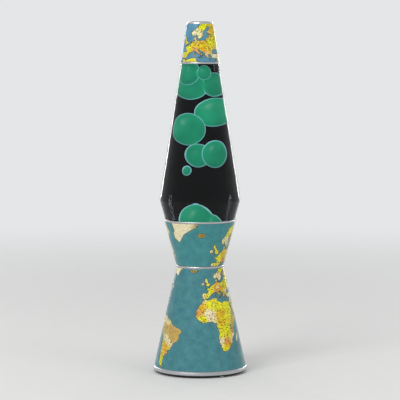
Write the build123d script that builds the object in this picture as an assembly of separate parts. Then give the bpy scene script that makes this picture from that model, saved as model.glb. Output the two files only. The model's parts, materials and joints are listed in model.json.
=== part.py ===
from build123d import *

import os
from math import atan, cos, degrees, radians, sin

# A 400 mm lava lamp: printed spun-aluminium base and cap, wax-filled glass globe, E14 reflector bulb and a
# cord with an inline switch and a two-pin plug.
# Frame: +Z up, origin on the table under the lamp's centre, -Y is the front, the cord leaves at the back.
# Lengths are in millimetres. Each function builds one node; PARTS at the end names them.

# ---------------------------------------------------------------- driving dimensions
TOTAL_HEIGHT = 400.0
SKIRT_LOW = (3.0, 53.5)         # (height, outer radius) of the base's foot edge
SKIRT_HIGH = (120.8, 27.2)      # where the skirt meets the waist ring
CUP_LOW = (123.2, 27.2)         # where the cup leaves the waist ring
CUP_HIGH = (175.2, 41.1)        # the cup's rim
GLOBE_WIDEST = 198.6            # height of the globe's widest ring
GLOBE_BOTTOM = 138.0
SHOULDER = 366.0                # where the globe's taper turns in to its neck
NECK_RADIUS = 12.2
NECK_TOP = 388.6
LIQUID_LEVEL = 378.0            # in the neck, hidden by the cap
CAP_LOW = 352.0                 # the cap's hem
CAP_TOP_RADIUS = 15.0
GLASS_SLOPE = 0.160             # radius lost per millimetre of height above the widest ring

FILM = 0.25                     # printed film wrapped round each aluminium cone
GLUE = 0.03                     # adhesive layer under the film
SHEET = 0.8                     # spun aluminium
GLASS_WALL = 2.5
SEAT_GAP = 0.1                  # between the glass and the metal it rests in
WAX_GAP = 0.3                   # liquid left clear around each moving wax blob
BARE = FILM + GLUE              # the bare metal lies this far inside the printed surface
INSIDE = BARE + SHEET           # the metal's inner face lies this far inside the printed surface

THROAT_RADIUS = 21.5            # opening through the waist, for light and heat
FLANGE_SCREW_RADIUS = 23.9      # the three waist screws stand on this circle
FLANGE_SCREW_ANGLES = (90, 210, 330)
PLATE_SCREW_RADIUS = 48.4       # the three screws that hold the base plate
PLATE_SCREW_ANGLES = (60, 180, 300)

COIL_RADIUS = 17.0              # loose wire coil on the globe's floor
COIL_WIRE = 0.8
COIL_PITCH = 1.9
COIL_TURNS = 4

PLATE_BOTTOM = 1.5              # the moulded plate that closes the skirt
PLATE_TOP = SKIRT_LOW[0] - 0.04
CLAMP_Y = 38.0                  # the cord clamp's two screws
CLAMP_X = 7.2

BULB_TIP = 58.0                 # E14 R39 reflector bulb: its contact tip, and its face 66 mm above
BULB_LENGTH = 66.0
BULB_RADIUS = 19.5
THREAD_PITCH = 2.82             # Edison E14
THREAD_LOW, THREAD_HIGH = 62.2, 73.0
BRIDGE_TOP = 46.0               # the bracket's bridge, which carries the lampholder
BRACKET_LEG = 22.3              # inner face of each bracket leg
BRACKET_SHEET = 1.0
TERMINAL_X = 8.4                # the lampholder's two terminal screws stand this far from its axis

CORD_RADIUS = 2.5
CORD_EXIT = 13.0                # height at which the cord leaves the skirt
CORD_INSIDE = 22.0              # length of sheathed cord inside the skirt
SWITCH_AT = (0.0, 106.0)        # centre of the cord switch on the table
SWITCH_SIZE = (58.0, 24.0, 18.0)
SWITCH_ENTRY = 8.2              # height at which the cord enters the switch
SWITCH_PARTING = 8.2            # height at which the switch's two halves meet
SWITCH_WALL = 1.8
ROCKER_TILT = 9.0               # the rocker rests tilted to "off" by this angle
ROCKER_SIZE = (22.0, 9.4, 7.0)
ROCKER_AXLE = 13.6              # height of the rocker's pivot
PLUG_FACE = (-22.0, 139.0)      # where the pins leave the plug body, on the table, pointing to -X
PIN_SPACING = 18.6
PIN_LENGTH = 19.0
PIN_RADIUS = 2.0                # bare tip of each pin
SLEEVE_RADIUS = 1.7             # insulating sleeve on the root of each pin
SLEEVE_LENGTH = 10.0
PLUG_CENTRE = 7.0               # height of the pins above the table

# Free wax blobs: (x, y, z, radius, half height), then how far each sinks and rises from there
WAX_BLOBS = {
    "wax_blob_upper": ((10.6, 9.0, 296.0, 12.4, 15.5), 22.0, 0.0),
    "wax_blob_large": ((-10.5, -9.5, 277.5, 14.7, 17.2), 7.5, 4.0),
    "wax_blob_front": ((14.0, -14.0, 249.5, 13.0, 15.0), 36.0, 0.0),
    "wax_blob_rear": ((-4.0, 8.5, 246.0, 13.2, 13.6), 36.0, 0.0),
    "wax_droplet": ((-12.5, -15.0, 230.4, 5.2, 5.6), 28.0, 10.0),
}
# Wax gathered under the shoulder, and the humps that rise from the pool: (x, y, z, radius, half height)
TOP_DROPS = (
    (-6.6, -4.6, 339.5, 12.0, 13.2),
    (-3.2, 2.4, 323.5, 14.4, 14.6),
    (4.6, -9.8, 339.2, 7.4, 8.2),
    (9.6, 1.8, 326.5, 11.2, 13.2),
)
POOL_HUMPS = ((-3.4, -7.0, 168.0, 15.6, 28.0), (8.6, -10.0, 163.0, 9.5, 19.0))
POOL_SURFACE = 158.0


# ---------------------------------------------------------------- outlines
def taper(low, high):
    """Radius as a function of height along the straight line from low to high, each (height, radius)."""
    slope = (high[1] - low[1]) / (high[0] - low[0])
    return lambda z: low[1] + slope * (z - low[0])


skirt = taper(SKIRT_LOW, SKIRT_HIGH)
cup = taper(CUP_LOW, CUP_HIGH)


def glass_low(z):
    """The globe's outer radius where it sits in the cup, and up to its widest ring."""
    return cup(z) - INSIDE - SEAT_GAP


def glass_high(z):
    """The globe's outer radius above its widest ring."""
    return glass_low(GLOBE_WIDEST) - GLASS_SLOPE * (z - GLOBE_WIDEST)


cap = taper((CAP_LOW, glass_high(CAP_LOW) + INSIDE + SEAT_GAP), (TOTAL_HEIGHT, CAP_TOP_RADIUS))


def outline(*corners):
    """A flat profile in the XZ plane. Each corner is (radius, height) or (radius, height, rounding)."""
    face = make_face(Polyline(*[c[:2] for c in corners], close=True))
    for corner in corners:
        if len(corner) == 3:
            nearest = face.vertices().sort_by_distance(corner[:2])[0]
            face = fillet(nearest, corner[2])
    return Plane.XZ * face


def turned(*corners):
    """A profile spun round the lamp's axis."""
    return revolve(outline(*corners), Axis.Z)


def upright(radius, low, high, x=0.0, y=0.0):
    """A vertical cylinder from height low to height high."""
    return Pos(x, y, (low + high) / 2) * Cylinder(radius, high - low)


def block(low, high):
    """A box between two opposite corners."""
    size = [b - a for a, b in zip(low, high)]
    middle = [(a + b) / 2 for a, b in zip(low, high)]
    return Pos(*middle) * Box(*size)


def drop(x, y, z, radius, half_height, gap=0.0, sink=0.0, rise=0.0):
    """A wax drop: a round-ended upright form, or the room it needs to sink and rise with a gap round it."""
    r, low, high = radius + gap, z - sink - (half_height - radius), z + rise + (half_height - radius)
    bend = r * sin(radians(45))
    side = Line((r, low), (r, high))
    top = ThreePointArc((r, high), (bend, high + bend), (0, high + r))
    bottom = ThreePointArc((0, low - r), (bend, low - bend), (r, low))
    profile = make_face([bottom, side, top, Line((0, high + r), (0, low - r))])
    return Pos(x, y, 0) * revolve(Plane.XZ * profile, Axis.Z)


def around(angles, radius):
    """The places at these angles on a circle round the axis."""
    return [(radius * cos(radians(a)), radius * sin(radians(a))) for a in angles]


def together(solids):
    """Separate solids kept as one node."""
    return Compound(children=list(solids))


def screw(shaft, length, head, head_height, x, y, top):
    """A pan-head screw pointing down, its head's underside at height top."""
    pan = Pos(x, y, top) * Cylinder(head, head_height, align=(Align.CENTER, Align.CENTER, Align.MIN))
    pan = fillet(pan.edges().sort_by(Axis.Z)[-1], head_height * 0.45)
    reach, low, high = head * 0.72, top + head_height * 0.55, top + head_height
    slot = block((x - reach, y - 0.3, low), (x + reach, y + 0.3, high))
    cross = block((x - 0.3, y - reach, low), (x + 0.3, y + reach, high))
    return pan + upright(shaft, top - length, top, x, y) - slot - cross


def hex_nut(across_flats, hole, low, high, x=0.0, y=0.0, turn=0.0):
    """A hexagonal nut with chamfered corners."""
    blank = extrude(RegularPolygon(across_flats / 2, 6, major_radius=False), high - low)
    nut = Pos(x, y, low) * Rot(0, 0, turn) * blank
    return nut - upright(hole, low - 1, high + 1, x, y)


def round_sweep(path, radius):
    """A round bar along a path."""
    return sweep(Plane(origin=path @ 0, z_dir=path % 0) * Circle(radius), path)


# ---------------------------------------------------------------- base shells
def seam_gap(low, high, reach):
    """The butt seam at the back of a wrapped film."""
    return block((-0.15, 0, low - 1), (0.15, reach, high + 1))


def film(radius, low, high):
    """Printed film wrapped once round a cone, with its butt seam at the back."""
    inner, outer = ((radius(z) - FILM for z in (low, high)), (radius(z) for z in (high, low)))
    sheet = turned(*zip((*inner, *outer), (low, high, high, low)))
    return sheet - seam_gap(low, high, radius(low) + 20)


def wall_lean():
    """How far the skirt's wall leans from upright, in radians."""
    return atan((SKIRT_LOW[1] - SKIRT_HIGH[1]) / (SKIRT_HIGH[0] - SKIRT_LOW[0]))


def at_cord_exit(shape):
    """A shape made on the Z axis, moved to stand square to the skirt's wall where the cord leaves."""
    return Pos(0, skirt(CORD_EXIT), CORD_EXIT) * Rot(degrees(wall_lean()) - 90, 0, 0) * shape


def flange_holes(low, high):
    """Clearance holes for the three waist screws."""
    places = around(FLANGE_SCREW_ANGLES, FLANGE_SCREW_RADIUS)
    return [upright(1.35, low - 1, high + 1, *p) for p in places]


def skirt_shell():
    """Lower cone: rolled foot edge with a flange for the base plate, and a screw flange at the waist."""
    low, high = SKIRT_LOW[0], SKIRT_HIGH[0]
    shell = turned(
        (skirt(7.0) - BARE, 7.0),
        (skirt(6.3) + 0.4, 6.3, 0.6),
        (skirt(low) + 0.4, low, 1.1),
        (46.5, low),
        (46.5, low + SHEET),
        (skirt(low + SHEET) - INSIDE, low + SHEET, 0.5),
        (skirt(high - SHEET) - INSIDE, high - SHEET),
        (THROAT_RADIUS, high - SHEET),
        (THROAT_RADIUS, high),
        (skirt(high) - BARE, high),
    )
    plate_holes = [upright(1.6, low - 1, low + 2, *p) for p in around(PLATE_SCREW_ANGLES, PLATE_SCREW_RADIUS)]
    return shell - flange_holes(high - SHEET, high) - plate_holes - at_cord_exit(Cylinder(4.6, 16))


def skirt_film():
    return film(skirt, 7.4, SKIRT_HIGH[0] - 0.3) - at_cord_exit(Cylinder(6.9, 16))


def waist_ring():
    """Bare turned ring clamped between skirt and cup."""
    low, high = SKIRT_HIGH[0] + 0.04, CUP_LOW[0] - 0.04
    ring = turned((THROAT_RADIUS, low), (27.9, low, 1.0), (27.9, high, 1.0), (THROAT_RADIUS, high))
    return ring - flange_holes(low, high)


def cup_shell():
    """Upper cone that holds the globe, with a rolled rim and a screw flange at the waist."""
    low, high = CUP_LOW[0], CUP_HIGH[0]
    shell = turned(
        (THROAT_RADIUS, low),
        (cup(low) - BARE, low),
        (cup(high - 2.4) - BARE, high - 2.4),
        (cup(high - 1.9) + 0.4, high - 1.9, 0.7),
        (cup(high) + 0.4, high, 0.8),
        (cup(high) - INSIDE, high, 0.5),
        (cup(low + SHEET) - INSIDE, low + SHEET),
        (THROAT_RADIUS, low + SHEET),
    )
    return shell - flange_holes(low, low + SHEET)


def cup_film():
    return film(cup, CUP_LOW[0] + 0.3, CUP_HIGH[0] - 2.7)


def waist_screws():
    top = CUP_LOW[0] + SHEET + 0.03
    places = around(FLANGE_SCREW_ANGLES, FLANGE_SCREW_RADIUS)
    return together(screw(1.25, 8.0, 2.15, 1.5, *p, top) for p in places)


def waist_nuts():
    high = SKIRT_HIGH[0] - SHEET - BRACKET_SHEET - 0.12
    places = zip(FLANGE_SCREW_ANGLES, around(FLANGE_SCREW_ANGLES, FLANGE_SCREW_RADIUS))
    return together(hex_nut(5.0, 1.3, high - 2.0, high, *p, turn=a + 30) for a, p in places)


# ---------------------------------------------------------------- lampholder and its bracket
def holder_bracket():
    """Steel strap hung from the waist: a ring, two legs and a bridge under the lampholder."""
    high = SKIRT_HIGH[0] - SHEET - 0.05
    ring = turned(
        (THROAT_RADIUS + 0.2, high - BRACKET_SHEET), (25.8, high - BRACKET_SHEET),
        (25.8, high), (THROAT_RADIUS + 0.2, high),
    )
    outer, low = BRACKET_LEG + BRACKET_SHEET, BRIDGE_TOP - BRACKET_SHEET
    strap = block((-outer, -6, low), (outer, 6, high))
    strap = strap - block((-BRACKET_LEG, -7, BRIDGE_TOP), (BRACKET_LEG, 7, high + 1))
    corners = strap.edges().filter_by(Axis.Y).group_by(Axis.Z)[0]
    strap = fillet(corners, 0.9)
    plate = upright(9.0, low, BRIDGE_TOP)
    return ring + strap + plate - upright(5.1, low - 1, BRIDGE_TOP + 1) - flange_holes(high - 2, high)


def holder_nipple():
    """Hollow M10 tube that clamps the lampholder to the bridge and passes the wires."""
    return upright(4.95, 39.5, 50.0) - upright(3.9, 39, 51)


def nipple_nuts():
    """The clamping nut under the bridge, and its toothed washer."""
    bridge = BRIDGE_TOP - BRACKET_SHEET
    washer = turned((5.1, bridge - 0.9), (8.0, bridge - 0.9), (8.0, bridge - 0.05), (5.1, bridge - 0.05))
    notches = [Pos(*p, bridge - 0.5) * Cylinder(0.8, 3) for p in around(range(0, 360, 30), 8.3)]
    return together([hex_nut(14.0, 5.0, bridge - 4.4, bridge - 0.95), washer - notches])


def holder_cap():
    """Lower half of the lampholder, a cup with the M10 entry in its floor."""
    low = BRIDGE_TOP + 0.05
    return turned(
        (5.0, low), (12.0, low, 1.5), (13.8, low + 4, 1.5), (13.8, 56.4),
        (11.8, 56.4), (11.8, low + 4.2), (5.0, low + 4.2),
    )


def holder_insert():
    """Moulded disc that carries the contacts and the two terminals."""
    disc = turned((0, 51.6), (11.6, 51.6), (11.6, 56.2), (0, 56.2))
    wire_ways = [upright(1.35, 51, 54.2, x, 0) for x in (-1.6, 1.6)]
    screw_ways = [upright(1.3, 51, 57, x, 0) for x in (-TERMINAL_X, TERMINAL_X)]
    return disc - wire_ways - screw_ways


def terminal_screws():
    """The two brass screws that clamp the cores in the lampholder."""
    return together(
        upright(1.2, 52.0, 56.65, x, 0) + upright(1.9, 56.65, 57.75, x, 0)
        - block((x - 2, -0.25, 57.2), (x + 2, 0.25, 58)) for x in (-TERMINAL_X, TERMINAL_X)
    )


def holder_skirt():
    """Upper half of the lampholder, a ribbed tube round the screw shell."""
    body = turned(
        (7.9, 61.0), (7.9, 75.6), (8.6, 76.4), (11.4, 76.4, 1.2), (13.8, 69.0, 1.0),
        (13.8, 56.5), (11.0, 56.5), (11.0, 61.0),
    )
    ribs = [Pos(*p, 62) * Cylinder(0.55, 8) for p in around(range(0, 360, 20), 14.0)]
    return body - ribs


def thread_ridge(radius, wire, low, high, turn=0.0):
    """A rounded screw ridge: a round wire wound on the thread's own helix."""
    path = Helix(pitch=THREAD_PITCH, height=high - low, radius=radius)
    ridge = sweep(Plane(origin=path @ 0, z_dir=path % 0) * Circle(wire), path, is_frenet=True)
    return Pos(0, 0, low) * Rot(0, 0, turn) * ridge


def holder_thread():
    """Screw shell of the lampholder, its ridge half a pitch away from the bulb's."""
    sleeve = upright(7.8, THREAD_LOW - 1.0, THREAD_HIGH + 1.4) - upright(7.2, THREAD_LOW - 2, THREAD_HIGH + 2)
    ridge = thread_ridge(7.45, 0.8, THREAD_LOW, THREAD_HIGH, turn=180) & upright(7.75, 50, 90)
    return sleeve + ridge


def contact_foot(side):
    """Brass tab under a terminal screw's head."""
    low, high = sorted((side * 5.4, side * 10.4))
    return block((low, -1.8, 56.25), (high, 1.8, 56.6)) - upright(1.3, 56, 57, side * TERMINAL_X, 0)


def centre_contact():
    """Brass spring tongue under the bulb's tip."""
    rise = block((-5.8, -1.5, 56.25), (-5.4, 1.5, 57.9))
    pad = block((-5.8, -1.5, 57.5), (1.8, 1.5, 57.9))
    return contact_foot(-1) + rise + pad


def side_contact():
    """Brass leg that joins the screw shell to its terminal."""
    leg = block((5.4, -1.4, 56.25), (5.8, 1.4, 61.1))
    tab = block((5.4, -1.4, 60.7), (7.7, 1.4, 61.1))
    return contact_foot(1) + leg + tab


# ---------------------------------------------------------------- bulb
def bulb_glass():
    """Envelope of the reflector bulb: neck, conical reflector and shallow dome face."""
    face = BULB_TIP + BULB_LENGTH

    def shape(inset):
        neck, wide = 5.4 - inset, BULB_RADIUS - inset
        side = Spline(
            (neck, 81), (8.6 - inset, 88), (15.6 - inset, 101), (wide, 110.5),
            tangents=((0.15, 1), (0, 1)),
        )
        dome = Spline(
            (wide, 110.5), (13.5 - inset / 2, 121 - inset), (0, face - inset), tangents=((0, 1), (-1, 0))
        )
        foot = 68.5 + inset
        rest = Polyline((0, face - inset), (0, foot), (neck, foot), (neck, 81))
        return revolve(Plane.XZ * make_face([side, dome, *rest.edges()]), Axis.Z)

    return shape(0.0) - shape(0.7)


def bulb_cap():
    """Screw cap of the bulb with its Edison thread, crimped round the glass neck."""
    core = turned(
        (5.5, 61.9), (6.2, 61.9), (6.2, 80.4), (7.0, 81.6), (7.0, 83.0), (6.5, 83.0),
        (6.5, 82.2), (5.7, 81.0), (5.5, 80.6),
    )
    return core + (thread_ridge(6.0, 0.85, THREAD_LOW, 79.2) - upright(5.75, 50, 90))


def bulb_insulator():
    """Black glass between the screw cap and the contact tip."""
    return turned((0, 59.5), (3.0, 59.5), (5.4, 61.6), (5.4, 63.0), (0, 63.0))


def bulb_tip():
    """Round solder contact under the bulb."""
    return turned((0, BULB_TIP), (2.2, BULB_TIP, 0.6), (2.6, 59.45), (0, 59.45))


def bulb_stem():
    """Glass foot inside the bulb that carries the filament's wires."""
    return turned((0, 69.4), (3.4, 69.4), (3.4, 72), (1.9, 79), (1.9, 92), (2.6, 95), (0, 95.5))


def filament_legs():
    """Two nickel wires from the stem to the filament's ends."""
    def leg(side):
        return round_sweep(Line((side * 2.45, 0, 95.0), (side * 7.0, 0, 105.0)), 0.3)
    return together([leg(-1), leg(1)])


def filament():
    """Tungsten arc between the two legs."""
    return round_sweep(ThreePointArc((-6.9, 0, 105.5), (0, -2.6, 107.2), (6.9, 0, 105.5)), 0.35)


# ---------------------------------------------------------------- globe
def globe_inner(inset=0.0):
    """Corners of the globe's inside, from the axis at the floor round to the axis at the neck's top."""
    wall = GLASS_WALL + inset
    floor = GLOBE_BOTTOM + GLASS_WALL + inset
    return (
        (0, floor + 3.5, 0),
        (glass_low(floor) - wall - 6, floor, 9.0),
        (glass_low(floor) - wall, floor, 3.5),
        (glass_low(GLOBE_WIDEST) - wall, GLOBE_WIDEST, 12.0),
        (glass_high(SHOULDER) - wall, SHOULDER, 4.0),
        (NECK_RADIUS - wall, SHOULDER + 8, 4.0),
    )


def plain(corners):
    """Corners with a zero rounding lose it."""
    return [c[:2] if len(c) == 3 and c[2] == 0 else c for c in corners]


def globe_glass():
    """Thick glass bottle: punted foot in the cup, widest ring, long taper, shoulder and crown finish."""
    foot = GLOBE_BOTTOM
    outer = turned(*plain([
        (0, foot + 3.5, 0),
        (glass_low(foot) - 7, foot, 8.0),
        (glass_low(foot), foot, 3.5),
        (glass_low(GLOBE_WIDEST), GLOBE_WIDEST, 14.0),
        (glass_high(SHOULDER), SHOULDER, 6.0),
        (NECK_RADIUS, SHOULDER + 8, 4.0),
        (NECK_RADIUS, 381.6),
        (13.6, 382.4, 0.3),
        (13.6, 384.2, 0.5),
        (12.9, 385.2),
        (13.2, 386.2),
        (13.2, NECK_TOP, 1.3),
        (0, NECK_TOP),
    ]))
    inner = turned(*plain([*globe_inner(), (NECK_RADIUS - GLASS_WALL, NECK_TOP + 1), (0, NECK_TOP + 1)]))
    return outer - inner


def crown_cork():
    """Pressed steel crown closure with its fluted skirt."""
    shell = turned(
        (0, NECK_TOP + 1.0), (12.4, NECK_TOP + 1.0), (13.35, NECK_TOP - 0.4), (13.85, 384.9),
        (14.4, 384.9), (13.9, NECK_TOP + 0.2, 0.8), (12.6, NECK_TOP + 1.35, 1.2), (0, NECK_TOP + 1.35),
    )
    flutes = [Pos(*p, 385.6) * Cylinder(0.5, 3.0) for p in around([k * 360 / 21 for k in range(21)], 14.7)]
    return shell - flutes


def crown_liner():
    """Soft sealing disc inside the crown."""
    return turned((0, NECK_TOP + 0.05), (12.2, NECK_TOP + 0.05), (12.2, NECK_TOP + 0.9), (0, NECK_TOP + 0.9))


def coil_floor():
    """Height of the globe's floor under the wire coil, with room for the wire."""
    return GLOBE_BOTTOM + GLASS_WALL + 3.0


def wire_coil():
    """Loose steel coil on the globe's floor that helps the wax to rejoin."""
    path = Helix(pitch=COIL_PITCH, height=COIL_PITCH * COIL_TURNS, radius=COIL_RADIUS)
    coil = sweep(Plane(origin=path @ 0, z_dir=path % 0) * Circle(COIL_WIRE), path, is_frenet=True)
    return Pos(0, 0, coil_floor() + COIL_WIRE + 0.2) * coil


def wax_pool():
    """Wax resting on the globe's floor, with the two humps that rise from it and room for the coil."""
    gap = 0.05
    floor = globe_inner(gap)
    edge = (glass_low(POOL_SURFACE) - GLASS_WALL - gap, POOL_SURFACE, 2.5)
    pool = turned(*plain([*floor[:3], edge, (0, POOL_SURFACE + 3)]))
    reach = COIL_WIRE + 0.5
    trench = turned(
        (COIL_RADIUS - reach, GLOBE_BOTTOM), (COIL_RADIUS + reach, GLOBE_BOTTOM),
        (COIL_RADIUS + reach, coil_floor() + 11), (COIL_RADIUS - reach, coil_floor() + 11),
    )
    below = upright(60, 100, GLOBE_BOTTOM + GLASS_WALL + 12)
    for hump in POOL_HUMPS:
        pool = pool + (drop(*hump) - below)
    return pool - trench


def wax_top():
    """Wax gathered under the shoulder: four drops that have run together."""
    mass = drop(*TOP_DROPS[0])
    for lobe in TOP_DROPS[1:]:
        mass = mass + drop(*lobe)
    return mass


def wax_blob(name):
    """One free blob of wax."""
    shape, _, _ = WAX_BLOBS[name]
    return drop(*shape)


def liquid():
    """Clear fluid that fills the globe round the wax, with room for every blob's drift."""
    gap = 0.05
    neck = NECK_RADIUS - GLASS_WALL - gap
    body = turned(*plain([*globe_inner(gap), (neck, LIQUID_LEVEL), (0, LIQUID_LEVEL)]))
    body = body - turned((0, 100), (60, 100), (60, POOL_SURFACE + 0.2), (0, POOL_SURFACE + 3.2))
    for still in POOL_HUMPS + TOP_DROPS:
        body = body - drop(*still, gap=0.1)
    for shape, sink, rise in WAX_BLOBS.values():
        body = body - drop(*shape, gap=WAX_GAP, sink=sink, rise=rise)
    return body


# ---------------------------------------------------------------- cap
def cap_shell():
    """Spun aluminium cap with a rounded crown and a rolled hem, resting on the globe's taper."""
    low, high = CAP_LOW, TOTAL_HEIGHT
    return turned(
        (cap(low) - INSIDE, low, 0.3),
        (cap(low) + 0.35, low, 0.7),
        (cap(low + 1.7) + 0.35, low + 1.7, 0.5),
        (cap(low + 2.2) - BARE, low + 2.2),
        (cap(high) - BARE, high, 2.6),
        (0, high),
        (0, high - SHEET),
        (cap(high) - INSIDE, high - SHEET, 1.8),
    )


def cap_film():
    return film(cap, CAP_LOW + 2.5, TOTAL_HEIGHT - 2.9)


# ---------------------------------------------------------------- underside
def base_plate():
    """Black moulded plate that closes the skirt, with vent slots and a stiffening ring."""
    plate = turned((0, PLATE_BOTTOM), (51.4, PLATE_BOTTOM, 0.4), (51.4, PLATE_TOP), (0, PLATE_TOP))
    ring = turned((30, PLATE_TOP - 0.2), (31.4, PLATE_TOP - 0.2), (31.4, PLATE_TOP + 3), (30, PLATE_TOP + 3))
    slots = []
    for angle in range(0, 360, 30):
        slot = extrude(SlotOverall(12, 2.6), 6)
        slots.append(Rot(0, 0, angle + 15) * Pos(22, 0, 0) * slot)
    holes = [upright(1.6, 0, 6, *p) for p in around(PLATE_SCREW_ANGLES, PLATE_SCREW_RADIUS)]
    bores = [upright(1.25, 0, 9, x, CLAMP_Y) for x in (-CLAMP_X, CLAMP_X)]
    posts = [upright(3.4, PLATE_TOP - 0.2, 7.2, x, CLAMP_Y) for x in (-CLAMP_X, CLAMP_X)]
    keep_ring = ring - block((-4, 24, 0), (4, 40, 12))
    return plate + keep_ring + posts - slots - holes - bores


def plate_screws():
    """Three screws up through the plate and the skirt's flange."""
    made = []
    for x, y in around(PLATE_SCREW_ANGLES, PLATE_SCREW_RADIUS):
        made.append(Pos(x, y, PLATE_BOTTOM - 0.03) * Rot(180, 0, 0) * screw(1.5, 6.0, 2.7, 1.2, 0, 0, 0))
    return together(made)


def plate_nuts():
    """Spring-steel nuts on the skirt's flange that take the plate screws."""
    low = SKIRT_LOW[0] + SHEET + 0.03
    nut = block((45.8, -2.6, low), (51.0, 2.6, low + 0.9)) - upright(1.55, 0, 9, PLATE_SCREW_RADIUS, 0)
    return together(Rot(0, 0, angle) * nut for angle in PLATE_SCREW_ANGLES)


def foot_ring():
    """Stuck-on rubber ring that the lamp stands on."""
    top = PLATE_BOTTOM - 0.03
    return turned((37.0, 0), (43.0, 0, 0.5), (43.0, top), (37.0, top))


# ---------------------------------------------------------------- cord, switch and plug
def grommet():
    """Rubber bush in the skirt's wall, square to it, that the cord passes through."""
    ring = turned(
        (CORD_RADIUS + 0.08, -3.1), (6.2, -3.1, 0.8), (6.2, -1.65), (4.5, -1.65), (4.5, 0.35),
        (6.6, 0.35), (5.6, 2.6, 0.8), (CORD_RADIUS + 0.08, 2.6),
    )
    return at_cord_exit(ring)


def cord_path_lamp():
    """From inside the skirt, out through the grommet, round on the table and into the switch."""
    lean = wall_lean()
    out, up = cos(lean), sin(lean)
    at, z = skirt(CORD_EXIT), CORD_EXIT
    inner = (0, at - CORD_INSIDE * out, z - CORD_INSIDE * up)
    outer = (0, at + 4 * out, z + 4 * up)
    through = Line(inner, outer)
    table = CORD_RADIUS
    landing = (-16, 74, table)
    mouth, inside = [(-SWITCH_SIZE[0] / 2 + x, SWITCH_AT[1], SWITCH_ENTRY) for x in (-1.5, 3)]
    drop_down = Bezier(outer, (0, outer[1] + 9 * out, outer[2] + 9 * up), (-4, 71, table), landing)
    round_turn = Bezier(landing, (-31.5, 77.9, table), (mouth[0] - 20, mouth[1], SWITCH_ENTRY), mouth)
    return Wire([*through.edges(), *drop_down.edges(), *round_turn.edges(), *Line(mouth, inside).edges()])


def cord_path_plug():
    """From the switch's other end, round on the table and into the plug."""
    table = CORD_RADIUS
    inside, mouth = [(SWITCH_SIZE[0] / 2 + x, SWITCH_AT[1], SWITCH_ENTRY) for x in (-3, 1.5)]
    middle = (47, (SWITCH_AT[1] + PLUG_FACE[1]) / 2, table)
    rear = (PLUG_FACE[0] + 40, PLUG_FACE[1], PLUG_CENTRE)
    away = Bezier(mouth, (mouth[0] + 10, mouth[1], SWITCH_ENTRY), (middle[0], middle[1] - 10, table), middle)
    back = Bezier(middle, (middle[0], middle[1] + 10, table), (rear[0] + 14, rear[1], PLUG_CENTRE), rear)
    end = Line(rear, (PLUG_FACE[0] + 33, PLUG_FACE[1], PLUG_CENTRE))
    return Wire([*Line(inside, mouth).edges(), *away.edges(), *back.edges(), *end.edges()])


def cord_lamp_side():
    return round_sweep(cord_path_lamp(), CORD_RADIUS)


def cord_plug_side():
    return round_sweep(cord_path_plug(), CORD_RADIUS)


def core(side):
    """One insulated core from the cord's end up through the nipple to its terminal."""
    lean = wall_lean()
    start_y = skirt(CORD_EXIT) - (CORD_INSIDE + 0.1) * cos(lean)
    start_z = CORD_EXIT - (CORD_INSIDE + 0.1) * sin(lean)
    path = Spline(
        (side * 1.2, start_y, start_z), (side * 1.6, 12, 11), (side * 1.7, 1.5, 27),
        (side * 1.6, 0, 40), (side * 1.6, 0, 54),
        tangents=((0, -cos(lean), -sin(lean)), (0, 0, 1)),
    )
    return round_sweep(path, 1.1)


def core_live():
    return core(-1)


def core_neutral():
    return core(1)


def cord_clamp():
    """Nylon saddle that holds the cord down on the base plate."""
    bar = block((-10.4, 34.6, 7.25), (10.4, 41.4, 13.6))
    bar = fillet(bar.edges().filter_by(Axis.Y).group_by(Axis.Z)[-1], 2.4)
    shoulders = [block((s - 4, 34, 10.4), (s + 4, 42, 15)) for s in (-7.6, 7.6)]
    cord = at_cord_exit(Cylinder(CORD_RADIUS + 0.1, 60))
    below = block((-2.6, 34, 7), (2.6, 42, 9.9))
    holes = [upright(1.4, 6, 15, x, CLAMP_Y) for x in (-CLAMP_X, CLAMP_X)]
    return bar - shoulders - cord - below - holes


def clamp_screws():
    return together(screw(1.2, 6.5, 2.3, 1.4, x, CLAMP_Y, 10.43) for x in (-CLAMP_X, CLAMP_X))


def switch_outline(inset):
    """Plan of the switch: a long body rounded at both ends."""
    length, width, _ = SWITCH_SIZE
    return Pos(*SWITCH_AT) * RectangleRounded(length - 2 * inset, width - 2 * inset, 9.5 - inset)


def switch_cord_ways():
    """Holes for the cord through both ends of the switch."""
    return Pos(*SWITCH_AT, SWITCH_ENTRY) * Rot(0, 90, 0) * Cylinder(CORD_RADIUS + 0.1, SWITCH_SIZE[0] + 4)


def switch_screw_places():
    return [(SWITCH_AT[0] - 17.5, SWITCH_AT[1] - 6.6), (SWITCH_AT[0] + 17.5, SWITCH_AT[1] + 6.6)]


def switch_lower():
    """Lower half of the switch body."""
    body = extrude(switch_outline(0), SWITCH_PARTING - 0.03)
    body = fillet(body.edges().group_by(Axis.Z)[0], 1.6)
    room = Pos(0, 0, SWITCH_WALL) * extrude(switch_outline(SWITCH_WALL), SWITCH_PARTING)
    posts = [upright(3.0, SWITCH_WALL - 0.1, SWITCH_PARTING - 0.03, *p) for p in switch_screw_places()]
    bores = [upright(1.4, -1, 12, *p) + upright(2.5, -1, 2.0, *p) for p in switch_screw_places()]
    return body - room + posts - bores - switch_cord_ways()


def rocker_window():
    """Opening in the top for the rocker."""
    x, y = SWITCH_AT
    return block((x - 11.9, y - 5.0, 12), (x + 11.9, y + 5.0, 20))


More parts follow.
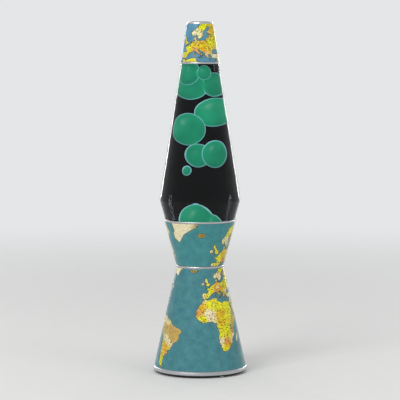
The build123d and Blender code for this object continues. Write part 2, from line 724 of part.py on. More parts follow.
def switch_upper():
    """Upper half of the switch body, with a raised collar round the rocker's window."""
    height = SWITCH_SIZE[2] - 1.6 - SWITCH_PARTING
    body = Pos(0, 0, SWITCH_PARTING) * extrude(switch_outline(0), height)
    body = fillet(body.edges().group_by(Axis.Z)[-1], 3.2)
    room = Pos(0, 0, SWITCH_PARTING - 0.1) * extrude(switch_outline(SWITCH_WALL), height - SWITCH_WALL + 0.1)
    x, y = SWITCH_AT
    collar_low = SWITCH_PARTING + height - 1.8
    collar = block((x - 13.6, y - 6.8, collar_low), (x + 13.6, y + 6.8, SWITCH_SIZE[2] - 0.4))
    collar = fillet(collar.edges().filter_by(Axis.Z), 2.0)
    cheek = block((x - 3.2, y - 1.2, ROCKER_AXLE - 3), (x + 3.2, y + 1.2, 16))
    cheeks = [Pos(0, side, 0) * cheek for side in (-6.4, 6.4)]
    axle_ways = Pos(x, y, ROCKER_AXLE) * Rot(90, 0, 0) * Cylinder(1.04, 15.0)
    posts = [upright(3.0, SWITCH_PARTING, SWITCH_PARTING + height - 1.0, *p) for p in switch_screw_places()]
    bores = [upright(1.05, SWITCH_PARTING - 1, SWITCH_PARTING + 5.2, *p) for p in switch_screw_places()]
    return body - room + collar + cheeks + posts - bores - rocker_window() - axle_ways - switch_cord_ways()


def rocker():
    """Two-way rocker on its own axle, resting in the off position."""
    length, width, depth = ROCKER_SIZE
    x, y = SWITCH_AT
    body = Box(length, width, depth)
    top = body.faces().sort_by(Axis.Z)[-1]
    body = fillet(body.edges().filter_by(Axis.Z), 1.2)
    dish = Pos(0, 0, depth / 2 + 27.4) * Rot(90, 0, 0) * Cylinder(28.6, width + 2)
    body = body - dish
    keel = Pos(0, 0, -depth / 2 - 1.2) * Box(5.0, 4.0, 3.4)
    axle = Rot(90, 0, 0) * Cylinder(0.98, 12.6)
    lift = Pos(0, 0, 1.7)
    return Pos(x, y, ROCKER_AXLE) * Rot(0, -ROCKER_TILT, 0) * (lift * (body + keel) + axle)


def switch_contacts():
    """Fixed brass blade and the rocking spring blade that the rocker's keel throws over."""
    x, y = SWITCH_AT
    base = block((x - 9, y - 2.5, SWITCH_WALL + 0.05), (x - 4, y + 2.5, SWITCH_WALL + 0.65))
    fixed = base + block((x - 9, y - 2.5, SWITCH_WALL + 0.05), (x - 8.4, y + 2.5, 6.8))
    other = block((x + 4, y - 2.5, SWITCH_WALL + 0.05), (x + 9, y + 2.5, SWITCH_WALL + 0.65))
    blade = other + block((x + 8.4, y - 2.5, SWITCH_WALL + 0.05), (x + 9, y + 2.5, 5.2))
    return together([fixed, blade])


def switch_screws():
    return together(
        Pos(*p, 1.95) * Rot(180, 0, 0) * screw(1.0, 10.2, 2.2, 1.4, 0, 0, 0) for p in switch_screw_places()
    )


def from_plug_face(distance, side=0.0):
    """A place this far back from the plug's face. A shape's Z axis there points back along the cord."""
    return Pos(PLUG_FACE[0] + distance, PLUG_FACE[1] + side, PLUG_CENTRE) * Rot(0, 90, 0)


def plug_body():
    """Flat moulded two-pin plug with a ribbed cord sleeve."""
    x, y = PLUG_FACE
    low, high = 0.4, 13.6
    half = ((0, 17.5), (13, 17.5), (23, 8), (26, 6.5))
    edge = [(x + a, y + b) for a, b in half] + [(x + a, y - b) for a, b in reversed(half)]
    plan = make_face(Polyline(*edge, close=True))
    body = Pos(0, 0, low) * extrude(fillet(plan.vertices(), 2.0), high - low)
    body = fillet(body.edges().group_by(Axis.Z)[-1] + body.edges().group_by(Axis.Z)[0], 1.6)
    sleeve = from_plug_face(32) * Cone(5.4, 3.7, 13)
    groove = Cylinder(7, 0.9)
    rings = [from_plug_face(37.4 - 2.6 * k) * (groove - Cylinder(3.5 + 0.2 * k, 2)) for k in range(4)]
    cord_way = from_plug_face(36) * Cylinder(CORD_RADIUS + 0.06, 13)
    pin_ways = [along_pin(SLEEVE_RADIUS + 0.05, -8, 8, side) for side in (-1, 1)]
    return body + sleeve - rings - cord_way - pin_ways


def along_pin(radius, start, end, side):
    """A cylinder along one plug pin, between two distances out from the plug's face."""
    return from_plug_face(-(start + end) / 2, side * PIN_SPACING / 2) * Cylinder(radius, end - start)


def plug_pins():
    """Two brass pins, full size only beyond their insulating sleeves."""
    def pin(side):
        tip = along_pin(PIN_RADIUS, SLEEVE_LENGTH, PIN_LENGTH, side)
        tip = fillet(tip.edges().sort_by(Axis.X)[0], 0.9)
        return tip + along_pin(1.2, -7.0, SLEEVE_LENGTH, side)
    return together([pin(-1), pin(1)])


def pin_sleeves():
    """Insulating sleeves on the root of each pin."""
    return together(
        along_pin(SLEEVE_RADIUS, -6.5, SLEEVE_LENGTH - 0.05, side) - along_pin(1.25, -8, 11, side)
        for side in (-1, 1)
    )


# ---------------------------------------------------------------- nodes
PARTS = {
    "cap_shell": cap_shell,
    "cap_film": cap_film,
    "crown_cork": crown_cork,
    "crown_liner": crown_liner,
    "globe_glass": globe_glass,
    "liquid": liquid,
    "wire_coil": wire_coil,
    "wax_pool": wax_pool,
    "wax_top": wax_top,
    "cup_shell": cup_shell,
    "cup_film": cup_film,
    "waist_ring": waist_ring,
    "waist_screws": waist_screws,
    "waist_nuts": waist_nuts,
    "skirt_shell": skirt_shell,
    "skirt_film": skirt_film,
    "holder_bracket": holder_bracket,
    "holder_nipple": holder_nipple,
    "nipple_nuts": nipple_nuts,
    "holder_cap": holder_cap,
    "holder_insert": holder_insert,
    "holder_skirt": holder_skirt,
    "holder_thread": holder_thread,
    "centre_contact": centre_contact,
    "side_contact": side_contact,
    "terminal_screws": terminal_screws,
    "bulb_glass": bulb_glass,
    "bulb_cap": bulb_cap,
    "bulb_insulator": bulb_insulator,
    "bulb_tip": bulb_tip,
    "bulb_stem": bulb_stem,
    "filament_legs": filament_legs,
    "filament": filament,
    "base_plate": base_plate,
    "plate_screws": plate_screws,
    "plate_nuts": plate_nuts,
    "foot_ring": foot_ring,
    "grommet": grommet,
    "cord_lamp_side": cord_lamp_side,
    "cord_plug_side": cord_plug_side,
    "core_live": core_live,
    "core_neutral": core_neutral,
    "cord_clamp": cord_clamp,
    "clamp_screws": clamp_screws,
    "switch_lower": switch_lower,
    "switch_upper": switch_upper,
    "rocker": rocker,
    "switch_contacts": switch_contacts,
    "switch_screws": switch_screws,
    "plug_body": plug_body,
    "plug_pins": plug_pins,
    "pin_sleeves": pin_sleeves,
}

os.makedirs("parts", exist_ok=True)
for node, build in PARTS.items():
    export_step(build(), f"parts/{node}.step")
for node in WAX_BLOBS:
    export_step(wax_blob(node), f"parts/{node}.step")
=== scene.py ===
import json
from math import cos, log, pi, radians, sin, tan, tau

import bmesh
import bpy
import numpy as np
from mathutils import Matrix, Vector, noise


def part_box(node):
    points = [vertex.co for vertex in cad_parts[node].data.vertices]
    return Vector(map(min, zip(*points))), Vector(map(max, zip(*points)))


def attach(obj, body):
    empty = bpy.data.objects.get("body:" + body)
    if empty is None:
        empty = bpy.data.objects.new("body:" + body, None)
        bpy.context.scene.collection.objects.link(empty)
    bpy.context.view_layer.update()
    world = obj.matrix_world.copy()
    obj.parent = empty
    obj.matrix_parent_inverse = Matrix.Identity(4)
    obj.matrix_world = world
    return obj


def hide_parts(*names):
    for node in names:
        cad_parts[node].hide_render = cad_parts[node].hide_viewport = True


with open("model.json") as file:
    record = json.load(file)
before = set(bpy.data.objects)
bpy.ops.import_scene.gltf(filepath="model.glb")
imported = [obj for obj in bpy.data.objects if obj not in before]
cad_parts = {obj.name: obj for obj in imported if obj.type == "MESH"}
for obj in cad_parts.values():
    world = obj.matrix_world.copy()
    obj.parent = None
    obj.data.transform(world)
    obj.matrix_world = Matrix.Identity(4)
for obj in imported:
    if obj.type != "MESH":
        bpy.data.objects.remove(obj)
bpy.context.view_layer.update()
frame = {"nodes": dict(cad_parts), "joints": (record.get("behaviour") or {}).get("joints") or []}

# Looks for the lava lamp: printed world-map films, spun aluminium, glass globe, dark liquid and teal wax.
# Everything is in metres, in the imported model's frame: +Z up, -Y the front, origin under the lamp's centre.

NODES = frame["nodes"]
MM = 0.001


# ---------------------------------------------------------------- colours and node trees
def darker(colour, share):
    """A linear colour with its red, green and blue multiplied by a share."""
    return tuple(share * part for part in colour[:3]) + (1.0,)


def ink(red, green, blue):
    """An sRGB colour, each part 0 to 255, as linear RGBA."""
    def linear(value):
        value /= 255
        return value / 12.92 if value <= 0.04045 else ((value + 0.055) / 1.055) ** 2.4
    return (linear(red), linear(green), linear(blue), 1.0)


SEA_PALE = ink(112, 166, 174)
YELLOW = ink(240, 236, 8)
AMBER = ink(232, 176, 14)
LIME = ink(186, 206, 30)
CREAM = ink(246, 236, 198)
TAN = ink(198, 164, 92)
ROSE = ink(220, 140, 84)
BROWN = ink(150, 122, 40)
COAST = ink(50, 58, 30)


class Tree:
    """A material's node tree, built one call at a time. Sockets, numbers and colours can all be inputs."""

    def __init__(self, name):
        """An empty node material."""
        self.material = bpy.data.materials.new(name)
        self.material.use_nodes = True
        self.tree = self.material.node_tree
        self.tree.nodes.clear()

    def add(self, kind, inputs=None, **settings):
        """A node, with its inputs linked or set, and its own settings."""
        node = self.tree.nodes.new(kind)
        for key, value in settings.items():
            setattr(node, key, value)
        for key, value in (inputs or {}).items():
            if isinstance(value, bpy.types.NodeSocket):
                self.tree.links.new(value, node.inputs[key])
            elif value is not None:
                node.inputs[key].default_value = value
        return node

    def math(self, operation, first, second=None, third=None):
        """A Math node's value."""
        return self.add("ShaderNodeMath", {0: first, 1: second, 2: third}, operation=operation).outputs[0]

    def where(self):
        """The shaded point's place."""
        return self.add("ShaderNodeNewGeometry").outputs["Position"]

    def stretch(self, vector, scale):
        """A vector scaled along each axis."""
        return self.add("ShaderNodeMapping", {"Vector": vector, "Scale": scale}).outputs[0]

    def noise(self, vector, scale, detail=3.0, rough=0.5, colour=False):
        """Fractal noise, as a value or a colour."""
        inputs = {"Vector": vector, "Scale": scale, "Detail": detail, "Roughness": rough}
        return self.add("ShaderNodeTexNoise", inputs).outputs["Color" if colour else "Fac"]

    def steps(self, factor, *stops):
        """A colour that changes at once at each (place, colour) stop."""
        node = self.add("ShaderNodeValToRGB", {"Fac": factor})
        node.color_ramp.interpolation = "CONSTANT"
        elements = node.color_ramp.elements
        while len(elements) < len(stops):
            elements.new(1.0)
        for element, (place, colour) in zip(elements, stops):
            element.position = place
            element.color = colour
        return node.outputs["Color"]

    def between(self, factor, low, high, to_low=0.0, to_high=1.0):
        """Maps low..high to to_low..to_high, and stays at the ends beyond."""
        inputs = {"Value": factor, "From Min": low, "From Max": high, "To Min": to_low, "To Max": to_high}
        return self.add("ShaderNodeMapRange", inputs).outputs["Result"]

    def mix(self, factor, first, second, blend="MIX"):
        """Two colours mixed. A Mix node's colours are its inputs 6 and 7, and its output 2."""
        node = self.add("ShaderNodeMix", data_type="RGBA", blend_type=blend)
        for key, value in ((0, factor), (6, first), (7, second)):
            if isinstance(value, bpy.types.NodeSocket):
                self.tree.links.new(value, node.inputs[key])
            else:
                node.inputs[key].default_value = value
        return node.outputs[2]

    def bump(self, height, strength, distance):
        """A normal tilted by a height."""
        inputs = {"Height": height, "Strength": strength, "Distance": distance}
        return self.add("ShaderNodeBump", inputs).outputs["Normal"]

    def blend_shaders(self, factor, first, second):
        """Two shaders mixed."""
        return self.add("ShaderNodeMixShader", {0: factor, 1: first, 2: second}).outputs[0]

    def surface(self, shader):
        """Ends the tree with a shader, and gives the material."""
        self.add("ShaderNodeOutputMaterial", {"Surface": shader})
        return self.material

    def principled(self, colour, roughness, normal=None, **more):
        """A Principled shader. Further inputs are named with _ for a space."""
        inputs = {"Base Color": colour, "Roughness": roughness, "Normal": normal}
        inputs.update({key.replace("_", " "): value for key, value in more.items()})
        return self.add("ShaderNodeBsdfPrincipled", inputs).outputs[0]


# ---------------------------------------------------------------- materials of the metal and plastic parts
def metal(name, colour, roughness, ring_scale=2600.0, ring_depth=0.5, tarnish=0.25):
    """Turned metal: fine lathe rings square to the axis, slight cloudy tarnish and small marks."""
    t = Tree(name)
    place = t.where()
    rings = t.noise(t.stretch(place, (30, 30, ring_scale)), 1.0, 4.0, 0.6)
    cloud = t.noise(place, 55.0, 5.0, 0.6)
    marks = t.noise(t.stretch(place, (900, 900, 900)), 1.0, 2.0, 0.7)
    dull = t.between(cloud, 0.35, 0.75, 1.0, 1.0 - tarnish)
    shade = t.mix(dull, darker(colour, 0.55), colour)
    stained = t.math("MULTIPLY_ADD", cloud, 0.12, roughness - 0.12)
    rough = t.math("ADD", t.math("MULTIPLY", rings, 0.16), stained)
    normal = t.bump(t.math("MULTIPLY_ADD", marks, 0.3, rings), ring_depth, 0.04 * MM)
    return t.surface(t.principled(shade, rough, normal, Metallic=1.0, Anisotropic=0.5))


def plastic(name, colour, roughness, grain=2200.0, depth=0.25, coat=0.0):
    """Moulded plastic with a fine spark-eroded grain and faint handling variation."""
    t = Tree(name)
    place = t.where()
    grains = t.noise(place, grain, 2.0, 0.6)
    wear = t.noise(place, 60.0, 4.0, 0.55)
    lighter = tuple(min(1.0, 1.5 * c + 0.012) for c in colour[:3]) + (1,)
    shade = t.mix(t.between(wear, 0.4, 0.8), colour, lighter)
    rough = t.math("MULTIPLY_ADD", wear, 0.18, roughness - 0.09)
    normal = t.bump(grains, depth, 0.06 * MM)
    return t.surface(t.principled(shade, rough, normal, Coat_Weight=coat, Coat_Roughness=0.08))


def rubber(name):
    """Matt rubber with pale dust on it."""
    t = Tree(name)
    place = t.where()
    dust = t.noise(place, 140.0, 6.0, 0.65)
    shade = t.mix(t.between(dust, 0.45, 0.8), ink(30, 30, 31), ink(58, 57, 56))
    rough = t.between(dust, 0.2, 0.8, 0.62, 0.88)
    normal = t.bump(t.noise(place, 1500.0, 3.0, 0.6), 0.5, 0.12 * MM)
    return t.surface(t.principled(shade, rough, normal))


def ceramic(name, colour):
    """Unglazed ceramic with dark specks."""
    t = Tree(name)
    place = t.where()
    specks = t.noise(place, 900.0, 5.0, 0.7)
    shade = t.mix(t.between(specks, 0.62, 0.72), colour, darker(colour, 0.6))
    return t.surface(t.principled(shade, 0.75, t.bump(specks, 0.35, 0.1 * MM)))


def bulb_glass(name, low, high):
    """Mirrored reflector below, frosted white face above."""
    t = Tree(name)
    place = t.where()
    height = t.add("ShaderNodeSeparateXYZ", {0: place}).outputs["Z"]
    frost_edge = t.math("ADD", height, t.math("MULTIPLY", t.noise(place, 400.0), 0.0006))
    frosted = t.between(frost_edge, low + 0.76 * (high - low), low + 0.79 * (high - low))
    mirror = t.principled(ink(205, 207, 210), 0.12, Metallic=1.0)
    ripple = t.noise(place, 1300.0, 3.0)
    face = t.principled(ink(240, 240, 236), 0.55, t.bump(ripple, 0.2, 0.05 * MM), Transmission_Weight=0.35)
    return t.surface(t.blend_shaders(frosted, mirror, face))


# ---------------------------------------------------------------- printed map film
# Coastlines as (longitude, latitude) in degrees
LANDS = {
    "africa": (
        (-6, 36), (-2, 35), (5, 37), (10, 37.4), (11, 34), (15, 32.4), (19, 30.4), (21, 33), (25, 31.7),
        (30, 31.4), (32.6, 30.2), (34, 27), (37, 21), (39, 16), (43, 12), (51, 12), (49, 8), (45, 3),
        (41, -2), (39, -6), (40.6, -14), (35, -20), (35, -24), (32.6, -27), (30, -31), (26, -34),
        (20, -35), (18, -33), (15, -27), (12, -18), (13.5, -10), (12, -5), (9, 0), (9.5, 4), (6, 4.4),
        (3, 6.4), (-4, 5.2), (-8, 4.5), (-13, 8.5), (-17, 13), (-16.5, 21), (-13, 27.5), (-10, 30),
        (-9.3, 32.6),
    ),
    "eurasia": (
        (-9, 37), (-6, 36.4), (-2, 36.8), (0, 39), (3, 42), (6, 43.2), (9, 44.3), (10.5, 42.8),
        (13, 41.2), (15.8, 40), (15.9, 38), (17, 39), (16.8, 40.5), (18.5, 40.2), (15.5, 42),
        (12.5, 44.3), (13.5, 45.6), (15, 44.5), (19.4, 42), (19.5, 40), (21.2, 38), (22.8, 36.6),
        (24, 38), (22.9, 40.3), (26, 40.8), (26.4, 39.3), (27.4, 37), (30.5, 36.5), (32.8, 36.1),
        (36, 36.6), (35, 33), (34.2, 31.3), (32.6, 30.2), (34.3, 28), (35, 29.4), (38, 23.4),
        (39.5, 20.5), (42.8, 15.5), (43.5, 12.8), (48, 14), (52, 16), (55, 17.5), (59.5, 22.5),
        (56.5, 24.5), (54, 24), (51.5, 25.5), (50, 27), (48, 30), (51, 28.5), (56.5, 27), (61.5, 25.2),
        (67, 25), (70, 21), (73, 19), (75, 12), (77.5, 8), (80, 13), (81, 16), (86, 20), (89, 22),
        (92, 21), (94, 16), (97.5, 16.5), (98.5, 10), (100.5, 6), (103.5, 1.5), (103.3, 4.5),
        (100.5, 7.5), (100, 13.3), (102.5, 12), (105, 9), (109, 11.5), (108.5, 15.5), (106, 19),
        (108, 21.5), (112, 21.8), (117, 23.5), (120, 27), (122, 30.5), (120, 34.5), (122, 37),
        (118, 38.5), (121.5, 40.5), (125, 39.5), (126.5, 34.5), (129.3, 35.5), (128, 39.5), (132, 43),
        (138, 47), (141, 52), (136, 54), (142, 59), (152, 59), (156, 61.5), (163, 62.5), (156.5, 57.5),
        (156.5, 51), (162, 56), (164, 60), (171, 60), (178, 62.5), (183, 64.5), (190, 66), (178, 69.5),
        (160, 69.7), (140, 72.5), (128, 73), (113, 74), (104, 77.5), (87, 75), (73, 72), (68, 68.5),
        (54, 68.5), (44, 68.2), (41, 66.6), (40.3, 64.6), (37, 64), (34.5, 66.5), (41, 67), (33, 69.3),
        (28, 71), (20, 70), (14, 67), (10.5, 64), (5, 61.5), (5.5, 59), (8, 58), (10.8, 59.2),
        (12.7, 56), (14.3, 55.5), (16.5, 57), (18.8, 59.8), (17.2, 61.5), (21, 64.5), (24, 65.8),
        (25.3, 65), (21.3, 61.5), (23, 59.9), (29.5, 60), (24, 59.3), (23.7, 57.2), (21, 56.5),
        (20.5, 54.7), (14, 54.2), (11, 54.2), (10.5, 57.6), (8.2, 56.8), (8.7, 54), (5, 53),
        (3.5, 51.5), (0.2, 49.5), (-2, 48.7), (-4.7, 48.3), (-1.5, 46.3), (-1.5, 43.5), (-8, 43.7),
        (-9.2, 40),
    ),
    "north_america": (
        (-77.5, 8.5), (-80, 7.5), (-83.5, 8.5), (-86, 11.5), (-91.5, 14), (-95, 16), (-101, 17.5),
        (-105.5, 20.5), (-109, 25.5), (-114.5, 31), (-110, 23), (-112.5, 26), (-117, 32.5),
        (-120.5, 34.5), (-124, 40), (-124.3, 47), (-130, 54), (-137, 59), (-146, 60.5), (-152, 59.5),
        (-160, 55.5), (-158, 58.5), (-165, 61), (-166, 64.5), (-161, 66.5), (-166, 68.3),
        (-156.5, 71.2), (-141, 69.7), (-127, 70.2), (-115, 68.5), (-95, 68), (-92, 71.5), (-82, 67.5),
        (-88, 64), (-94.5, 60.5), (-92, 57), (-82.5, 55), (-79.5, 51.5), (-78.5, 56), (-77.5, 62.3),
        (-70, 61), (-65, 58.7), (-60.5, 55.5), (-56, 52.5), (-60, 50.2), (-66.5, 50), (-65, 47),
        (-60.5, 46), (-66, 44), (-70, 43.5), (-70.5, 41.7), (-74, 40), (-76, 36.5), (-81, 31.5),
        (-80.3, 26), (-82.5, 28.5), (-84.5, 30), (-90, 29.5), (-97, 27.5), (-97.5, 21.5), (-94.5, 18.3),
        (-90.5, 19), (-90, 21), (-87, 21.5), (-88.3, 16), (-83.5, 15), (-83.5, 11), (-81, 9),
    ),
    "south_america": (
        (-77.5, 8.5), (-75, 10.7), (-72, 12), (-68, 11.5), (-62, 10.5), (-60, 8.3), (-52, 5), (-50, 0),
        (-44, -2.5), (-37, -5), (-35, -8), (-39, -14), (-40, -21), (-45, -23.5), (-48.5, -27),
        (-53.5, -34), (-58, -34.5), (-57, -38), (-62.5, -40), (-65.5, -45), (-68.5, -51), (-66, -55),
        (-71.5, -54), (-75.3, -50), (-73.5, -42), (-73.5, -37), (-71.5, -30), (-70.2, -18.5),
        (-76, -14), (-81, -6), (-80, -2.5), (-80, 1), (-77.3, 4),
    ),
    "greenland": (
        (-44, 59.9), (-40.5, 63.5), (-38, 65.7), (-32, 68), (-24, 70.3), (-20, 74), (-18, 77),
        (-12, 81.5), (-33, 83.5), (-60, 82), (-72, 78.5), (-66, 76), (-58, 75.3), (-54, 71),
        (-51.5, 68), (-53, 66), (-50.5, 62.5),
    ),
    "britain": (
        (-5.5, 50.1), (1.2, 51.2), (1.5, 52.8), (0, 53.5), (-2, 56), (-2, 57.6), (-3.2, 58.6),
        (-5.2, 58.4), (-6, 56.7), (-4.8, 54.8), (-3, 54), (-4.5, 53.2), (-4.8, 51.8), (-3, 51.4),
    ),
    "ireland": ((-6.2, 52.2), (-6, 54.2), (-7.5, 55.3), (-9.8, 54), (-10, 51.7)),
    "iceland": ((-22.5, 64), (-18.5, 63.4), (-13.7, 65), (-16, 66.5), (-22, 66.4), (-24, 65.5)),
    "baffin": (
        (-61.5, 66.5), (-66, 62), (-72, 64), (-74, 67), (-86, 71), (-88, 73.5), (-78, 73.5), (-68, 70),
    ),
    "newfoundland": ((-59, 47.8), (-53, 46.8), (-53.5, 49), (-56, 51.4)),
    "cuba": ((-84.8, 22), (-80, 23.2), (-74.2, 20.2), (-77.7, 19.9), (-78, 21)),
    "hispaniola": ((-74.4, 18.5), (-73, 19.9), (-68.5, 18.6), (-71.5, 17.8)),
    "madagascar": ((49.3, -12), (50.3, -16), (47, -25), (43.7, -23), (44.5, -17)),
    "australia": (
        (113.7, -22.5), (122, -17.5), (129, -15), (132, -11.5), (136.7, -12.2), (135.5, -15),
        (140.5, -17.5), (142.4, -10.8), (146, -19), (153, -25.5), (151, -33.7), (147, -38),
        (140, -37.8), (136, -34), (131, -31.5), (124, -33.5), (117.5, -35), (115, -33.5),
    ),
    "tasmania": ((144.7, -40.8), (148.3, -41), (147, -43.6)),
    "new_zealand_north": ((173, -34.5), (178.3, -37.8), (175, -41.5), (174, -39)),
    "new_zealand_south": ((172.8, -40.7), (174.2, -41.7), (171, -45.8), (166.6, -46)),
    "sumatra": ((95.5, 5.5), (104, -2), (105.5, -5.8), (101, -3)),
    "borneo": ((109, 1.5), (115, 5), (117, 7), (118, 1), (116, -4), (110.5, -3)),
    "sulawesi": ((119, -5), (120, 1), (125, 1.5), (121, 0), (122.5, -4.5), (120.5, -3)),
    "java": ((105.3, -6.2), (114.4, -7.8), (110, -8.2), (106.5, -7.4)),
    "new_guinea": ((131, -1), (138, -1.7), (147, -6.5), (150.5, -10.5), (143, -9), (138, -7.5), (133, -4)),
    "philippines": ((120.5, 18), (122, 18.3), (125.5, 10), (126, 6.5), (123, 8), (121, 14)),
    "japan": (
        (130, 31.5), (132, 33.8), (136.5, 34.2), (140.7, 35.5), (141.8, 39.5), (141.3, 41.2),
        (139.5, 38), (136, 36), (131, 34.3),
    ),
    "hokkaido": ((140.3, 42), (143.3, 42.2), (145.3, 43.5), (141.8, 45.3)),
    "sicily": ((12.5, 38), (15.5, 38.2), (15, 36.8)),
    "sardinia": ((8.3, 39), (9.7, 39.3), (9.5, 41.1), (8.3, 40.8)),
    "corsica": ((8.7, 41.6), (9.4, 41.6), (9.4, 42.9), (8.7, 42.5)),
    "crete": ((23.6, 35.2), (26.2, 35), (26.2, 35.3), (23.8, 35.6)),
    "cyprus": ((32.4, 34.8), (33.9, 34.9), (34.5, 35.6), (33, 35.3)),
    "svalbard": ((11, 79), (17, 76.7), (22, 78.5), (18, 80)),
    "novaya_zemlya": ((52, 71.5), (57, 71), (60, 75), (68, 77), (58, 75.8)),
}
INLAND_SEAS = {
    "black_sea": (
        (28, 42), (28.4, 43.7), (30.6, 46.4), (33, 46), (34, 44.5), (36.5, 45.2), (39, 47), (39, 44),
        (41.5, 42), (38, 41), (35, 42), (31.5, 41.3),
    ),
    "caspian": (
        (47.5, 45), (50, 46.8), (53, 46.5), (51, 44.5), (53.5, 41), (54, 37.5), (50, 37.5), (49.5, 40.5),
    ),
    "lake_victoria": ((32, 0), (34, 0), (33.4, -2.4), (31.8, -2)),
    "great_lakes": ((-92, 46.8), (-85, 48.5), (-84, 46), (-80, 45), (-82, 42), (-87, 42), (-86, 45.5)),
}
# How the print colours each part of the world: (longitude, latitude, colour, how much its patches vary)
TINTS = (
    (-42, 66, CREAM, 0.04), (-40, 76, CREAM, 0.04), (-50, 71, CREAM, 0.04), (-80, 68, CREAM, 0.2),
    (-105, 58, AMBER, 0.3), (-100, 40, YELLOW, 0.5), (-102, 24, LIME, 0.5), (-18, 65, BROWN, 0.1),
    (-44, -8, TAN, 0.06), (-52, -6, TAN, 0.06), (-52, -16, TAN, 0.06), (-66, -4, TAN, 0.1),
    (-58, -22, CREAM, 0.2), (-62, -30, AMBER, 0.25), (-66, -38, AMBER, 0.3), (-70, -48, YELLOW, 0.4),
    (-72, 6, CREAM, 0.3), (-62, 6, CREAM, 0.2), (-4, 40, YELLOW, 0.3), (-7, 40, CREAM, 0.2),
    (2, 47, YELLOW, 0.3), (10, 50, AMBER, 0.4), (9, 45, ROSE, 0.2), (20, 46, AMBER, 0.5),
    (14, 61, CREAM, 0.3), (17, 65, YELLOW, 0.3), (27, 63, AMBER, 0.3), (22, 68, YELLOW, 0.3),
    (24, 55, YELLOW, 0.5), (36, 56, YELLOW, 0.4), (50, 60, AMBER, 0.4), (35, 39, CREAM, 0.1),
    (-2, 54, YELLOW, 0.2), (-8, 53, CREAM, 0.2), (-12, 20, ROSE, 0.2), (-9, 23, AMBER, 0.2),
    (-2, 18, CREAM, 0.1), (1, 14, CREAM, 0.2), (-8, 9, YELLOW, 0.3), (3, 28, YELLOW, 0.15),
    (14, 27, YELLOW, 0.1), (26, 27, YELLOW, 0.1), (16, 16, AMBER, 0.15), (20, 12, YELLOW, 0.25),
    (28, 15, YELLOW, 0.2), (20, 6, AMBER, 0.3), (40, 9, TAN, 0.3), (24, -2, YELLOW, 0.3),
    (36, -6, TAN, 0.3), (16, -12, YELLOW, 0.3), (28, -13, YELLOW, 0.3), (16, -21, CREAM, 0.1),
    (24, -22, ROSE, 0.2), (27, -27, AMBER, 0.2), (22, -32, YELLOW, 0.1), (37, -18, CREAM, 0.2),
    (47, -19, CREAM, 0.1), (44, 24, LIME, 0.4), (54, 32, AMBER, 0.4), (78, 20, YELLOW, 0.4),
    (105, 34, AMBER, 0.4), (104, 48, YELLOW, 0.4), (100, 62, YELLOW, 0.4), (140, 64, AMBER, 0.4),
    (134, -25, YELLOW, 0.4), (115, 0, LIME, 0.4), (150, -10, LIME, 0.4),
)


NEAR_COAST = 4                  # an outline counts within this many millimetres of its box
FAR_FROM_COAST = 6.0            # largest distance to a coast that is kept, in millimetres


class Map:
    """One film's print: where each longitude and latitude falls, in millimetres round and up the film."""

    def __init__(self, centre, equator, wide, tall):
        """The longitude at the front, the equator's height, and millimetres per radian across and up."""
        self.centre, self.equator, self.wide, self.tall = centre, equator, wide, tall

    def place(self, longitude, latitude):
        """Miller's projection, in millimetres from the map's centre longitude and the film's zero height."""
        upward = 1.25 * log(tan(pi / 4 + 0.4 * radians(latitude)))
        return radians(longitude - self.centre) * self.wide, self.equator + upward * self.tall

    def turns(self):
        """Sideways moves that bring every copy of the world near the film."""
        return [k * tau * self.wide for k in (-1, 0, 1)]

    def coast_distance(self, points):
        """Signed distance in millimetres from each point to the nearest coast: positive on land."""
        nearest = np.full(len(points), 1e9)
        land = np.zeros(len(points), bool)
        for names, is_land in ((LANDS, True), (INLAND_SEAS, False)):
            for outline in names.values():
                ring = np.array([self.place(*corner) for corner in outline])
                for turn in self.turns():
                    moved = ring + (turn, 0)
                    low, high = moved.min(0) - NEAR_COAST, moved.max(0) + NEAR_COAST
                    close = np.flatnonzero(((points >= low) & (points <= high)).all(1))
                    if not len(close):
                        continue
                    inside, distance = inside_and_distance(points[close], moved)
                    nearest[close] = np.minimum(nearest[close], distance)
                    land[close] = (land[close] | inside) if is_land else (land[close] & ~inside)
        return np.where(land, 1, -1) * np.minimum(nearest, FAR_FROM_COAST)

    def tints(self, points):
        """The nearest tints' mixed colour at each point, and how much its patches vary there."""
        total = np.zeros((len(points), 4))
        weight = np.zeros(len(points))
        for longitude, latitude, colour, contrast in TINTS:
            for turn in self.turns():
                gap = points - self.place(longitude, latitude) - (turn, 0)
                share = 1 / (np.hypot(gap[:, 0], gap[:, 1]) + 0.5) ** 6
                total += share[:, None] * np.array((*colour[:3], contrast))
                weight += share
        return total / weight[:, None]


def inside_and_distance(points, ring):
    """For each point, whether the ring holds it, and how far it is from the ring's edge."""
    inside = np.zeros(len(points), bool)
    distance = np.full(len(points), 1e9)
    for start, end in zip(ring, np.roll(ring, -1, 0)):
        way = end - start
        along = np.clip(((points - start) @ way) / max(way @ way, 1e-9), 0, 1)
        distance = np.minimum(distance, np.hypot(*(points - start - along[:, None] * way).T))
        crosses = (start[1] > points[:, 1]) != (end[1] > points[:, 1])
        rise = end[1] - start[1] if end[1] != start[1] else 1e-9
        inside ^= crosses & (points[:, 0] < way[0] * (points[:, 1] - start[1]) / rise + start[0])
    return inside, distance


